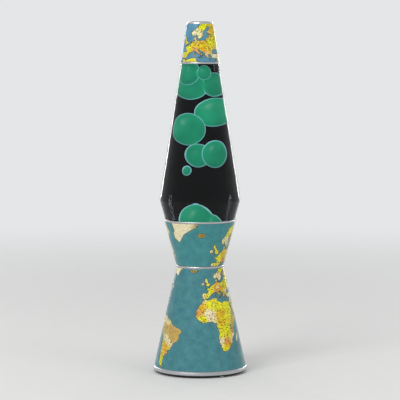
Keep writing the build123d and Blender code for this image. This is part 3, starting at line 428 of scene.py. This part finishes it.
def map_material(name, sea, sea_deep):
    """Glossy print: mottled sea, and land in patches with pale shores, fine dark borders and specks."""
    t = Tree(name)
    print_place = t.add("ShaderNodeAttribute", attribute_name="print_mm").outputs["Vector"]
    coast = t.add("ShaderNodeAttribute", attribute_name="coast_mm").outputs["Fac"]
    region_attribute = t.add("ShaderNodeAttribute", attribute_name="region")
    region, contrast = region_attribute.outputs["Color"], region_attribute.outputs["Alpha"]
    ragged = t.math("SUBTRACT", t.noise(print_place, 0.55, 6.0, 0.62), 0.5)
    shore = t.math("MULTIPLY_ADD", ragged, 2.4, coast)
    on_land = t.between(shore, -0.05, 0.05)

    warp = t.noise(print_place, 0.35, 3.0, 0.5, colour=True)
    bend = {0: warp, 1: (3.2, 3.2, 0), 2: print_place}
    bent = t.add("ShaderNodeVectorMath", bend, operation="MULTIPLY_ADD").outputs[0]
    cells = t.add("ShaderNodeTexVoronoi", {"Vector": bent, "Scale": 0.21}, voronoi_dimensions="2D")
    edges = t.add("ShaderNodeTexVoronoi", {"Vector": bent, "Scale": 0.21}, voronoi_dimensions="2D",
                  feature="DISTANCE_TO_EDGE")
    pick = t.add("ShaderNodeSeparateColor", {0: cells.outputs["Color"]}).outputs[0]
    country = t.steps(
        pick, (0.0, YELLOW), (0.34, AMBER), (0.5, YELLOW), (0.66, LIME), (0.76, ROSE), (0.86, YELLOW),
        (0.94, CREAM),
    )
    land = t.mix(contrast, region, country)
    relief = t.noise(print_place, 1.4, 5.0, 0.6)
    land = t.mix(t.between(relief, 0.45, 0.75, 0.0, 0.3), land, ink(224, 190, 80), "MULTIPLY")
    land = t.mix(t.between(shore, 0.15, 1.3, 0.4, 0.0), land, ink(246, 238, 196))
    quiet = t.between(contrast, 0.03, 0.12, 0.25, 1.0)
    border = t.math("MULTIPLY", quiet, t.between(edges.outputs["Distance"], 0.012, 0.05, 0.75, 0.0))
    land = t.mix(border, land, ink(84, 70, 16))
    blotch = t.between(t.noise(bent, 0.8, 4.0, 0.7), 0.56, 0.68, 0.0, 0.5)
    land = t.mix(t.math("MULTIPLY", quiet, blotch), land, ink(112, 104, 8))
    specks = t.add("ShaderNodeTexVoronoi", {"Vector": bent, "Scale": 0.55}, voronoi_dimensions="2D")
    chance = t.add("ShaderNodeSeparateColor", {0: specks.outputs["Color"]}).outputs[1]
    sparse = t.between(chance, 0.5, 0.52)
    spot = t.between(specks.outputs["Distance"], 0.22, 0.4, 0.95, 0.0)
    towns = t.math("MULTIPLY", t.math("MULTIPLY", quiet, sparse), spot)
    land = t.mix(towns, land, ink(54, 50, 22))

    swell = t.noise(print_place, 0.11, 4.0, 0.55)
    water = t.mix(t.between(swell, 0.3, 0.7), sea_deep, sea)
    water = t.mix(t.between(shore, -2.0, -0.2, 0.0, 0.3), water, SEA_PALE)
    drift = t.noise(t.stretch(print_place, (0.5, 3.2, 1)), 0.5, 4.0, 0.7)
    water = t.mix(t.between(drift, 0.6, 0.75, 0.0, 0.45), water, ink(24, 70, 84))
    algae = t.noise(print_place, 0.28, 3.0, 0.6)
    water = t.mix(t.between(algae, 0.5, 0.7, 0.0, 0.4), water, ink(64, 142, 104))
    line_width = t.between(t.noise(print_place, 0.9, 3.0, 0.6), 0.35, 0.65, 0.2, 0.8)
    coast_line = t.between(t.math("DIVIDE", t.math("ABSOLUTE", shore), line_width), 0.5, 1.0, 0.9, 0.0)
    colour = t.mix(coast_line, t.mix(on_land, water, land), COAST)
    dots = t.noise(print_place, 9.0, 2.0, 0.6)
    colour = t.mix(t.between(dots, 0.3, 0.75, 0.0, 0.12), colour, ink(40, 46, 50))
    wavy = t.noise(t.where(), 70.0, 2.0, 0.4)
    rough = t.between(wavy, 0.3, 0.7, 0.22, 0.34)
    normal = t.bump(t.math("MULTIPLY_ADD", dots, 0.05, wavy), 0.12, 0.4 * MM)
    shine = {"Specular_IOR_Level": 0.28, "Coat_Weight": 0.2, "Coat_Roughness": 0.12}
    return t.surface(t.principled(colour, rough, normal, **shine))


# ---------------------------------------------------------------- geometry helpers
def placed(name, data):
    """A new object in the scene, for a mesh, a lamp or a camera."""
    made = bpy.data.objects.new(name, data)
    bpy.context.scene.collection.objects.link(made)
    return made


def mesh_object(name, vertices, faces):
    """A new smooth-shaded piece."""
    mesh = bpy.data.meshes.new(name)
    mesh.from_pydata(vertices, [], faces)
    mesh.polygons.foreach_set("use_smooth", [True] * len(mesh.polygons))
    mesh.update()
    return placed(name, mesh)


def apply_modifiers(piece):
    """Turns a piece's modifiers into its mesh."""
    mesh = bpy.data.meshes.new_from_object(piece.evaluated_get(bpy.context.evaluated_depsgraph_get()))
    piece.modifiers.clear()
    piece.data = mesh


def remove_loose_vertices(mesh):
    """Takes out the vertices that no face uses."""
    edited = bmesh.new()
    edited.from_mesh(mesh)
    loose = [vertex for vertex in edited.verts if not vertex.link_faces]
    bmesh.ops.delete(edited, geom=loose, context="VERTS")
    edited.to_mesh(mesh)
    edited.free()


def vertex_places(piece):
    """A piece's vertices as rows of x, y and z."""
    return np.array([vertex.co[:] for vertex in piece.data.vertices])


def aim(made, place, target):
    """Puts a lamp or a camera in its place, looking at a target."""
    made.location = place
    made.rotation_euler = (Vector(target) - Vector(place)).to_track_quat("-Z", "Y").to_euler()


def hit(node, start, way):
    """Where a ray first meets a CAD node."""
    met, place, _, _ = NODES[node].ray_cast(Vector(start), Vector(way))
    if not met:
        raise ValueError(f"no surface of {node} from {start} towards {way}")
    return place


def outer_radius(node, height):
    """The CAD node's outer radius at a height, at its front."""
    return -hit(node, (0, -1, height), (0, 1, 0)).y


def inner_radius(node, height):
    """The CAD node's inner radius at a height, at its front."""
    return -hit(node, (0, 0, height), (0, -1, 0)).y


def turned_mesh(name, profile, around=128):
    """A closed surface of revolution. The profile runs from the axis at the bottom to the axis at the top."""
    vertices, faces, rings = [], [], []
    for radius, z in profile:
        start = len(vertices)
        if radius < 1e-7:
            vertices.append((0, 0, z))
        else:
            turns = [tau * k / around for k in range(around)]
            vertices += [(radius * sin(turn), -radius * cos(turn), z) for turn in turns]
        rings.append(range(start, len(vertices)))
    for below, above in zip(rings, rings[1:]):
        for k in range(around):
            j = (k + 1) % around
            if len(below) == 1:
                faces.append((below[0], above[j], above[k]))
            elif len(above) == 1:
                faces.append((below[k], below[j], above[0]))
            else:
                faces.append((below[k], below[j], above[j], above[k]))
    return mesh_object(name, vertices, faces)


def finish_piece(piece, material, body, node):
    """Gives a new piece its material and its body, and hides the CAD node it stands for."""
    piece.data.materials.clear()
    piece.data.materials.append(material)
    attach(piece, body)
    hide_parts(node)


# ---------------------------------------------------------------- printed films
CELL = 0.9                      # grid cell of a film's mesh, in millimetres
FILM_THICKNESS = 0.2 * MM
SEAM = 0.3 * MM                 # butt seam at the back
EDGE = 0.1 * MM                 # a film's radius is measured this far inside its edges


class Cone:
    """A film's outside: its radius falls or rises evenly from its low edge to its high edge."""

    def __init__(self, node):
        """Measured on the CAD film."""
        low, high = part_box(node)
        first, last = low.z + EDGE, high.z - EDGE
        slope = (outer_radius(node, last) - outer_radius(node, first)) / (last - first)
        self.low, self.high = low.z, high.z
        self.low_radius = outer_radius(node, first) - EDGE * slope
        self.high_radius = self.low_radius + slope * (high.z - low.z)

    def radius(self, height):
        """The radius at a height."""
        share = (height - self.low) / (self.high - self.low)
        return self.low_radius + share * (self.high_radius - self.low_radius)

    def grid(self):
        """(radius, angle from the front, height) of each grid corner, and the rows and columns of cells."""
        rows = max(2, round((self.high - self.low) / MM / CELL))
        columns = round(tau * max(self.low_radius, self.high_radius) / MM / CELL)
        places = []
        for row in range(rows + 1):
            height = self.low + row / rows * (self.high - self.low)
            half = pi - SEAM / 2 / self.radius(height)
            for column in range(columns + 1):
                places.append((self.radius(height), half * (2 * column / columns - 1), height))
        return np.array(places), rows, columns

    def open_hole(self, places, height, hole_radius):
        """Moves corners inside a hole at the back out to its edge, and says which corners were outside it."""
        sideways = places[:, 0] * (np.mod(places[:, 1], tau) - pi)
        upward = places[:, 2] - height
        reach = np.hypot(sideways, upward)
        outside = reach >= hole_radius
        push = np.where(outside, 1.0, hole_radius / np.maximum(reach, 1e-9))
        edge_height = height + upward * push
        edge_radius = self.radius(edge_height)
        side = sideways * push / edge_radius
        angle = np.where(places[:, 1] > 0, pi + side, -pi + side)
        places[~outside] = np.stack([edge_radius, angle, edge_height], 1)[~outside]
        return outside


def film(node, body, world, sea, sea_deep, hole=None):
    """A printed film wrapped round one cone, with its map's centre at the front and its seam at the back."""
    cone = Cone(node)
    places, rows, columns = cone.grid()
    radius, angle, height = places.T.copy()
    prints = np.stack([radius * angle / MM, height / MM], 1)
    keep = cone.open_hole(places, *hole) if hole else np.ones(len(places), bool)
    radius, angle, height = places.T
    xyz = np.stack([radius * np.sin(angle), -radius * np.cos(angle), height], 1)
    faces = []
    for row in range(rows):
        for column in range(columns):
            a = row * (columns + 1) + column
            corners = (a, a + 1, a + columns + 2, a + columns + 1)
            if keep[list(corners)].any():
                faces.append(corners)
    piece = mesh_object(node + "_print", xyz.tolist(), faces)
    mesh = piece.data
    coast = world.coast_distance(prints)
    mesh.attributes.new("coast_mm", "FLOAT", "POINT").data.foreach_set("value", coast)
    flat = np.concatenate([prints, np.zeros((len(prints), 1))], 1)
    mesh.attributes.new("print_mm", "FLOAT_VECTOR", "POINT").data.foreach_set("vector", flat.ravel())
    colours = world.tints(prints)
    mesh.attributes.new("region", "FLOAT_COLOR", "POINT").data.foreach_set("color", colours.ravel())
    remove_loose_vertices(mesh)
    thick = piece.modifiers.new("thickness", "SOLIDIFY")
    thick.thickness = FILM_THICKNESS
    thick.offset = -1
    finish_piece(piece, map_material(node + "_ink", sea, sea_deep), body, node)


GROMMET_LOW, GROMMET_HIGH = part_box("grommet")
CORD_EXIT = ((GROMMET_LOW.z + GROMMET_HIGH.z) / 2, 6.9 * MM)    # height and radius of the hole at the back
# Each print: its map's place and scale, and its sea's two colours
film("skirt_film", "base", Map(-11.7, 57.2, 53, 45.5), ink(74, 138, 144), ink(54, 112, 128), CORD_EXIT)
film("cup_film", "base", Map(-20.5, 77.9, 61, 61), ink(68, 148, 152), ink(50, 124, 134))
film("cap_film", "cap", Map(14.5, 323.5, 62, 52), ink(94, 152, 182), ink(66, 124, 158))


# ---------------------------------------------------------------- glass and liquid
LIQUID_IOR = 1.36               # how much the outer face bends light
MIRROR_IOR = 1.3                # how much it reflects


def glass_material(centre):
    """Clear thick glass. Its outer face bends light for the wall and the liquid together, as one body, so the
    liquid fills the silhouette, and turns mirror-like where it is seen edge-on, for a pale outline. Its inner
    face, whose normal points to the globe's middle, bends nothing."""
    t = Tree("clear_glass")
    place = t.add("ShaderNodeTexCoord").outputs["Object"]
    geometry = t.add("ShaderNodeNewGeometry")
    leaving = geometry.outputs["Backfacing"]
    from_centre = t.add("ShaderNodeVectorMath", {0: place, 1: centre}, operation="SUBTRACT").outputs[0]
    along = {0: geometry.outputs["Normal"], 1: from_centre}
    facing_out = t.add("ShaderNodeVectorMath", along, operation="DOT_PRODUCT").outputs["Value"]
    unflipped = t.math("MULTIPLY", facing_out, t.math("MULTIPLY_ADD", leaving, -2.0, 1.0))
    inner_face = t.math("LESS_THAN", unflipped, 0.0)
    waves = t.noise(t.stretch(place, (18, 18, 9)), 1.0, 2.0, 0.4)
    normal = t.bump(waves, 0.06, 0.002)
    tint = t.mix(waves, (0.97, 0.98, 0.975, 1), (0.98, 0.985, 0.98, 1))
    bend = {"Color": tint, "Roughness": 0.0, "IOR": LIQUID_IOR, "Normal": normal}
    bent = t.add("ShaderNodeBsdfRefraction", bend).outputs[0]
    mirror = {"Color": (1, 1, 1, 1), "Roughness": 0.02, "Normal": normal}
    gloss = t.add("ShaderNodeBsdfGlossy", mirror).outputs[0]
    shine = t.add("ShaderNodeFresnel", {"IOR": MIRROR_IOR, "Normal": normal}).outputs[0]
    slant = t.add("ShaderNodeLayerWeight", {"Blend": 0.5}).outputs["Facing"]
    shine = t.math("MAXIMUM", shine, t.between(slant, 0.76, 0.9, 0.0, 0.85))
    outer = t.blend_shaders(t.math("MULTIPLY", shine, t.math("SUBTRACT", 1.0, leaving)), bent, gloss)
    clear = t.add("ShaderNodeBsdfTransparent", {"Color": tint}).outputs[0]
    shadow = t.add("ShaderNodeLightPath").outputs["Is Shadow Ray"]
    return t.surface(t.blend_shaders(t.math("MAXIMUM", shadow, inner_face), outer, clear))


def liquid_material():
    """Dark liquid: it dims the wax a little, and its far side reads near black."""
    t = Tree("dark_liquid")
    haze = t.noise(t.where(), 40.0, 3.0, 0.5)
    far_side = t.add("ShaderNodeNewGeometry").outputs["Backfacing"]
    near = t.mix(haze, (0.58, 0.59, 0.60, 1), (0.62, 0.63, 0.64, 1))
    far = t.mix(haze, (0.004, 0.005, 0.006, 1), (0.008, 0.009, 0.011, 1))
    lit = t.add("ShaderNodeLightPath").outputs["Is Shadow Ray"]
    colour = t.mix(lit, t.mix(far_side, near, far), (0.86, 0.9, 0.9, 1))
    return t.surface(t.add("ShaderNodeBsdfTransparent", {"Color": colour}).outputs[0])


GLOBE_LOW, GLOBE_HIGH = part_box("globe_glass")
LIQUID_LOW, LIQUID_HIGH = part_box("liquid")
WALL_GAP = 0.1 * MM             # between the glass's inside and the liquid or wax it holds
FLOOR_RADIUS = 0.019            # the floor is sampled downwards within this radius, the wall sideways beyond


def floor_height(radius):
    """Height of the globe's inside floor at a radius."""
    return hit("globe_glass", (0, -radius, LIQUID_LOW.z + 0.02), (0, 0, -1)).z


def globe_inside(top, inset):
    """Profile of the globe's inside, shrunk by an inset, from the axis at the floor up to a height."""
    floor = [(r, floor_height(r) + inset) for r in np.linspace(0.0, FLOOR_RADIUS, 7)]
    corner = np.linspace(floor[-1][1] + 0.0002, floor[-1][1] + 0.006, 10)
    wall = np.linspace(corner[-1] + 0.001, top, 70)
    return floor + [(inner_radius("globe_glass", z) - inset, z) for z in (*corner, *wall)]


def liquid():
    """The liquid fills the globe from its floor to the CAD liquid's level."""
    profile = globe_inside(LIQUID_HIGH.z, WALL_GAP) + [(0, LIQUID_HIGH.z)]
    piece = turned_mesh("liquid_fill", profile)
    finish_piece(piece, liquid_material(), "globe", "liquid")


NODES["globe_glass"].data.materials[0] = glass_material((GLOBE_LOW + GLOBE_HIGH) / 2)
liquid()


# ---------------------------------------------------------------- wax
def wax_material(name, painted_rim_start, painted_rim_strength):
    """Teal wax: smooth and faintly cloudy, with a painted glow (emission) for light through it,
    and a painted pale rim highlight where it curves away from the viewer.
    The painted rim starts at the given rim start, between 0 for face-on and 1 for edge-on."""
    t = Tree(name)
    place = t.where()
    cloud = t.noise(place, 42.0, 4.0, 0.5)
    deep, bright = ink(29, 156, 118), ink(44, 184, 139)
    body = t.mix(t.between(cloud, 0.3, 0.7), deep, bright)
    facing = t.add("ShaderNodeLayerWeight", {"Blend": 0.5}).outputs["Facing"]
    # Painted highlight: a pale rim colour where the surface turns edge-on to the viewer, which the emission
    # also makes glow.
    rim = t.between(facing, painted_rim_start, painted_rim_start + 0.17, 0.0, painted_rim_strength)
    colour = t.mix(rim, body, ink(160, 232, 248))
    micro = t.noise(place, 420.0, 3.0, 0.5)
    normal = t.bump(micro, 0.05, 0.0002)
    # Painted light: the emission makes the wax glow like a lamp, standing in for light passing through it.
    return t.surface(t.principled(colour, 0.36, normal, Emission_Color=colour, Emission_Strength=0.72))


# Each wax finish: where its painted pale rim highlight starts, and how strong it is; the calm pool surface
# has none.
WAX = wax_material("teal_wax", 0.52, 0.95)
DROPLET_WAX = wax_material("teal_wax_droplet", 0.28, 0.95)
CALM_WAX = wax_material("teal_wax_surface", 0.52, 0.0)
WALL_HEIGHTS = np.linspace(GLOBE_LOW.z + 0.012, GLOBE_HIGH.z - 0.004, 120)
WALL_RADII = np.array([inner_radius("globe_glass", z) for z in WALL_HEIGHTS])


def press_on_wall(places, rise=0.0, gap=0.0006, soft=0.0012):
    """Wax that would reach the glass once it has risen this far flattens softly against it."""
    radii = np.maximum(np.hypot(places[:, 0], places[:, 1]), 1e-9)
    limit = np.interp(places[:, 2] + rise, WALL_HEIGHTS, WALL_RADII) - gap
    over = (radii - limit) / soft
    pressed = limit - soft * np.log1p(np.exp(-np.clip(over, -40, 40)))
    pressed = np.where(over > -40, pressed, radii)
    places[:, :2] *= (pressed / radii)[:, None]
    return places


def drop_mesh(centre, radii, lean=0.0, wobble=0.0003, subdivisions=5):
    """Vertices and faces of one wax drop: a leaning ellipsoid with a slow wobble in its surface."""
    ball = bmesh.new()
    bmesh.ops.create_icosphere(ball, subdivisions=subdivisions, radius=1.0)
    seed = Vector(centre) * 90
    places = []
    for v in ball.verts:
        n = v.co.normalized()
        swell = 1 + wobble / min(radii) * noise.noise(n * 1.4 + seed)
        p = Vector((n.x * radii[0], n.y * radii[1], n.z * radii[2])) * swell
        p.x += lean * p.z * abs(p.z) / radii[2]
        places.append(p + Vector(centre))
    faces = [[v.index for v in f.verts] for f in ball.faces]
    ball.free()
    return np.array(places), faces


def wax_drop(blob, centre, radii, lean):
    """A free blob of wax, which rides its own drifting body."""
    places, faces = drop_mesh(centre, radii, lean)
    piece = mesh_object(blob + "_drop", press_on_wall(places, drift_of(blob)[1]).tolist(), faces)
    finish_piece(piece, DROPLET_WAX if blob == "wax_droplet" else WAX, blob, blob)


def drift_of(body):
    """How far a blob's joint sinks and rises."""
    for joint in frame["joints"]:
        if joint["child"] == body:
            return joint["range_m"]
    return (0.0, 0.0)


# Each free blob: offset from the CAD blob's middle, half sizes across, in depth and upright, and lean
BLOBS = {
    "wax_blob_upper": ((0.0006, 0.0, -0.0005), (0.0155, 0.0105, 0.0164), 0.05),
    "wax_blob_large": ((-0.0011, 0.0, 0.0), (0.0168, 0.0112, 0.0182), -0.04),
    "wax_blob_front": ((0.0006, 0.0, 0.0003), (0.0128, 0.0108, 0.0156), 0.03),
    "wax_blob_rear": ((0.0024, 0.0, 0.0002), (0.0104, 0.0105, 0.0135), -0.03),
    "wax_droplet": ((-0.0002, 0.0, 0.0005), (0.0046, 0.0044, 0.0056), 0.0),
}
for blob, (offset, radii, lean) in BLOBS.items():
    low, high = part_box(blob)
    wax_drop(blob, (low + high) / 2 + Vector(offset), radii, lean)


def united(name, shapes, voxel, smoothings):
    """One closed mesh from overlapping shapes, run together like liquid."""
    places, faces = [], []
    for shape_places, shape_faces in shapes:
        start = len(places)
        places += shape_places.tolist()
        faces += [[start + i for i in face] for face in shape_faces]
    rough = mesh_object(name, places, faces)
    remesh = rough.modifiers.new("join", "REMESH")
    remesh.mode = "VOXEL"
    remesh.voxel_size = voxel
    relax = rough.modifiers.new("relax", "SMOOTH")
    relax.factor = 0.5
    relax.iterations = smoothings
    apply_modifiers(rough)
    rough.data.polygons.foreach_set("use_smooth", [True] * len(rough.data.polygons))
    return rough


# Drops under the shoulder: (x, y, height above the globe's foot, half width, half depth, half height)
TOP_DROPS = {
    "left": (-0.0118, -0.0060, 0.2040, 0.0118, 0.0098, 0.0146),
    "low": (-0.0072, 0.0050, 0.1882, 0.0142, 0.0110, 0.0160),
    "small": (0.0040, -0.0122, 0.2038, 0.0072, 0.0058, 0.0082),
    "right": (0.0125, 0.0014, 0.1896, 0.0110, 0.0102, 0.0138),
}


def wax_top():
    """The drops under the shoulder stay distinct, each with its own edge, and are joined where they meet."""
    made = []
    for label, (x, y, height, *radii) in TOP_DROPS.items():
        places, faces = drop_mesh((x, y, GLOBE_LOW.z + height), radii, wobble=0.0004)
        made.append(mesh_object("wax_top_" + label, press_on_wall(places).tolist(), faces))
    whole = made[0]
    for other in made[1:]:
        union = whole.modifiers.new("union", "BOOLEAN")
        union.operation = "UNION"
        union.solver = "EXACT"
        union.object = other
        apply_modifiers(whole)
    for other in made[1:]:
        bpy.data.objects.remove(other)
    whole.name = "wax_top_drops"
    finish_piece(whole, WAX, "globe", "wax_top")


# Humps that rise from the pool: (x, y, height above the globe's foot, half width, half depth, half height)
POOL_HUMPS = (
    (-0.0036, -0.0070, 0.0395, 0.0156, 0.0130, 0.0185),
    (0.0112, -0.0080, 0.0310, 0.0094, 0.0095, 0.0150),
)
POOL_DEPTH = 0.0175             # from the CAD pool's lowest point to the flat surface's edge
POOL_GAP = 0.0009               # between the pool and the glass


def wax_pool():
    """Wax melting on the floor, swelling into a hump and a shoulder. Its flat surface has no painted pale rim
    highlight.
    """
    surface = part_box("wax_pool")[0].z + POOL_DEPTH
    profile = globe_inside(surface, POOL_GAP)
    edge_radius, edge_height = profile[-1]
    profile += [(edge_radius - 0.002, edge_height + 0.0012), (0, edge_height + 0.003)]
    base = turned_mesh("pool_base", profile, around=96)
    shapes = [(vertex_places(base), [list(face.vertices) for face in base.data.polygons])]
    bpy.data.objects.remove(base)
    for x, y, height, *radii in POOL_HUMPS:
        shapes.append(drop_mesh((x, y, GLOBE_LOW.z + height), radii, wobble=0.0006, subdivisions=4))
    piece = united("wax_pool_melt", shapes, voxel=0.0009, smoothings=6)
    piece.data.vertices.foreach_set("co", press_on_wall(vertex_places(piece)).ravel())
    piece.data.update()
    finish_piece(piece, WAX, "globe", "wax_pool")
    piece.data.materials.append(CALM_WAX)
    for face in piece.data.polygons:
        level = face.normal.z > 0.9 and face.center.z < surface + 0.004
        face.material_index = 1 if level else 0


wax_top()
wax_pool()


# ---------------------------------------------------------------- carried-over parts
SPUN = metal("spun_aluminium_finish", ink(206, 208, 211), 0.30, tarnish=0.2)
ZINC = metal("zinc_steel_finish", ink(176, 180, 184), 0.36, ring_scale=900.0, ring_depth=0.3, tarnish=0.4)
CROWN = metal("crown_finish", ink(196, 192, 180), 0.28, ring_scale=1200.0, ring_depth=0.25, tarnish=0.3)
BRASS = metal("brass_finish", ink(214, 180, 104), 0.26, ring_scale=1400.0, ring_depth=0.3, tarnish=0.35)
NICKEL = metal("nickel_finish", ink(198, 197, 192), 0.22, ring_scale=2000.0, ring_depth=0.3, tarnish=0.2)
BLACK = plastic("black_moulding", ink(26, 26, 27), 0.46)
HOLDER = plastic("black_phenolic", ink(20, 19, 19), 0.30, grain=1400.0, depth=0.2, coat=0.3)
SHEATH = plastic("cord_sheath_finish", ink(22, 22, 23), 0.42, grain=1100.0, depth=0.3)
RUBBER = rubber("rubber_finish")

BULB_LOW, BULB_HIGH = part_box("bulb_glass")
FINISHES = {
    SPUN: ["cap_shell", "cup_shell", "skirt_shell", "waist_ring"],
    ZINC: ["waist_screws", "waist_nuts", "plate_screws", "plate_nuts", "clamp_screws", "switch_screws",
           "holder_bracket", "holder_nipple", "nipple_nuts", "wire_coil"],
    CROWN: ["crown_cork"],
    BRASS: ["holder_thread", "centre_contact", "side_contact", "terminal_screws", "switch_contacts",
            "plug_pins"],
    NICKEL: ["bulb_cap", "bulb_tip", "filament_legs", "filament"],
    BLACK: ["base_plate", "cord_clamp", "switch_lower", "switch_upper", "rocker", "plug_body", "pin_sleeves"],
    HOLDER: ["holder_cap", "holder_skirt"],
    SHEATH: ["cord_lamp_side", "cord_plug_side"],
    RUBBER: ["foot_ring", "grommet"],
    plastic("liner_finish", ink(226, 224, 214), 0.6): ["crown_liner"],
    plastic("brown_core", ink(96, 58, 34), 0.4): ["core_live"],
    plastic("blue_core", ink(40, 84, 160), 0.4): ["core_neutral"],
    plastic("black_glass_finish", ink(16, 16, 20), 0.15, coat=0.6): ["bulb_insulator"],
    ceramic("ceramic_finish", ink(232, 226, 210)): ["holder_insert"],
    bulb_glass("bulb_glass_finish", BULB_LOW.z, BULB_HIGH.z): ["bulb_glass", "bulb_stem"],
}
for finish, nodes in FINISHES.items():
    for node in nodes:
        NODES[node].data.materials[0] = finish


# ---------------------------------------------------------------- studio
def stage_floor():
    """A wide pale floor that fades into the background far away, and is clear from below."""
    around, radius = 64, 6.0
    rim = [(radius * cos(tau * k / around), radius * sin(tau * k / around), 0) for k in range(around)]
    floor = mesh_object("floor", rim, [tuple(range(around))])
    t = Tree("pale_floor")
    place = t.where()
    speckle = t.noise(place, 60.0, 4.0, 0.5)
    colour = t.mix(speckle, ink(212, 212, 210), ink(218, 218, 216))
    solid = t.principled(colour, 0.75)
    clear = t.add("ShaderNodeBsdfTransparent").outputs[0]
    below = t.add("ShaderNodeNewGeometry").outputs["Backfacing"]
    distance = t.add("ShaderNodeVectorMath", {0: place}, operation="LENGTH").outputs["Value"]
    gone = t.add("ShaderNodeMapRange", {"Value": distance, "From Min": 0.45, "From Max": 1.9},
                 interpolation_type="SMOOTHSTEP").outputs["Result"]
    floor.data.materials.append(t.surface(t.blend_shaders(t.math("MAXIMUM", below, gone), solid, clear)))


def area_light(name, place, size, power, mirrored=True, lighting=True):
    """A rectangular lamp aimed at the middle of the lava lamp."""
    lamp = bpy.data.lights.new(name, "AREA")
    lamp.shape = "RECTANGLE"
    lamp.size, lamp.size_y = size
    lamp.energy = power
    holder = placed(name, lamp)
    aim(holder, place, (0, 0, 0.2))
    holder.visible_camera = False
    holder.visible_glossy = mirrored
    holder.visible_diffuse = lighting


def studio():
    """Soft white surroundings, a key light from the upper left, and two strips behind for pale edges."""
    world = bpy.data.worlds.new("studio")
    bpy.context.scene.world = world
    world.use_nodes = True
    tree = world.node_tree
    background = tree.nodes["Background"]
    background.inputs["Color"].default_value = (0.93, 0.94, 0.95, 1)
    seen = tree.nodes.new("ShaderNodeLightPath")
    strength = tree.nodes.new("ShaderNodeMapRange")     # weaker as light than as the camera sees it
    strength.inputs["To Min"].default_value = 0.62
    strength.inputs["To Max"].default_value = 0.84
    tree.links.new(seen.outputs["Is Camera Ray"], strength.inputs["Value"])
    tree.links.new(strength.outputs["Result"], background.inputs["Strength"])
    area_light("key", (-1.5, -2.1, 2.1), (1.4, 1.4), 47)
    area_light("fill", (1.6, -1.2, 0.9), (1.0, 1.4), 8, mirrored=False)
    area_light("rim_left", (-0.68, 1.25, 0.7), (0.14, 1.3), 6, lighting=False)
    area_light("rim_right", (0.68, 1.25, 0.7), (0.14, 1.3), 6, lighting=False)
    area_light("top", (0, 0.1, 1.9), (1.2, 1.2), 6, mirrored=False)


def camera():
    """About level with the cap's hem, two metres in front of the lamp, looking at its middle."""
    lens = bpy.data.cameras.new("camera")
    lens.lens = 158
    lens.sensor_width = 36
    eye = placed("camera", lens)
    aim(eye, (0, -2.0, 0.35), (0, 0, 0.197))
    bpy.context.scene.camera = eye


stage_floor()
studio()
camera()
bpy.context.scene.view_settings.view_transform = "Standard"
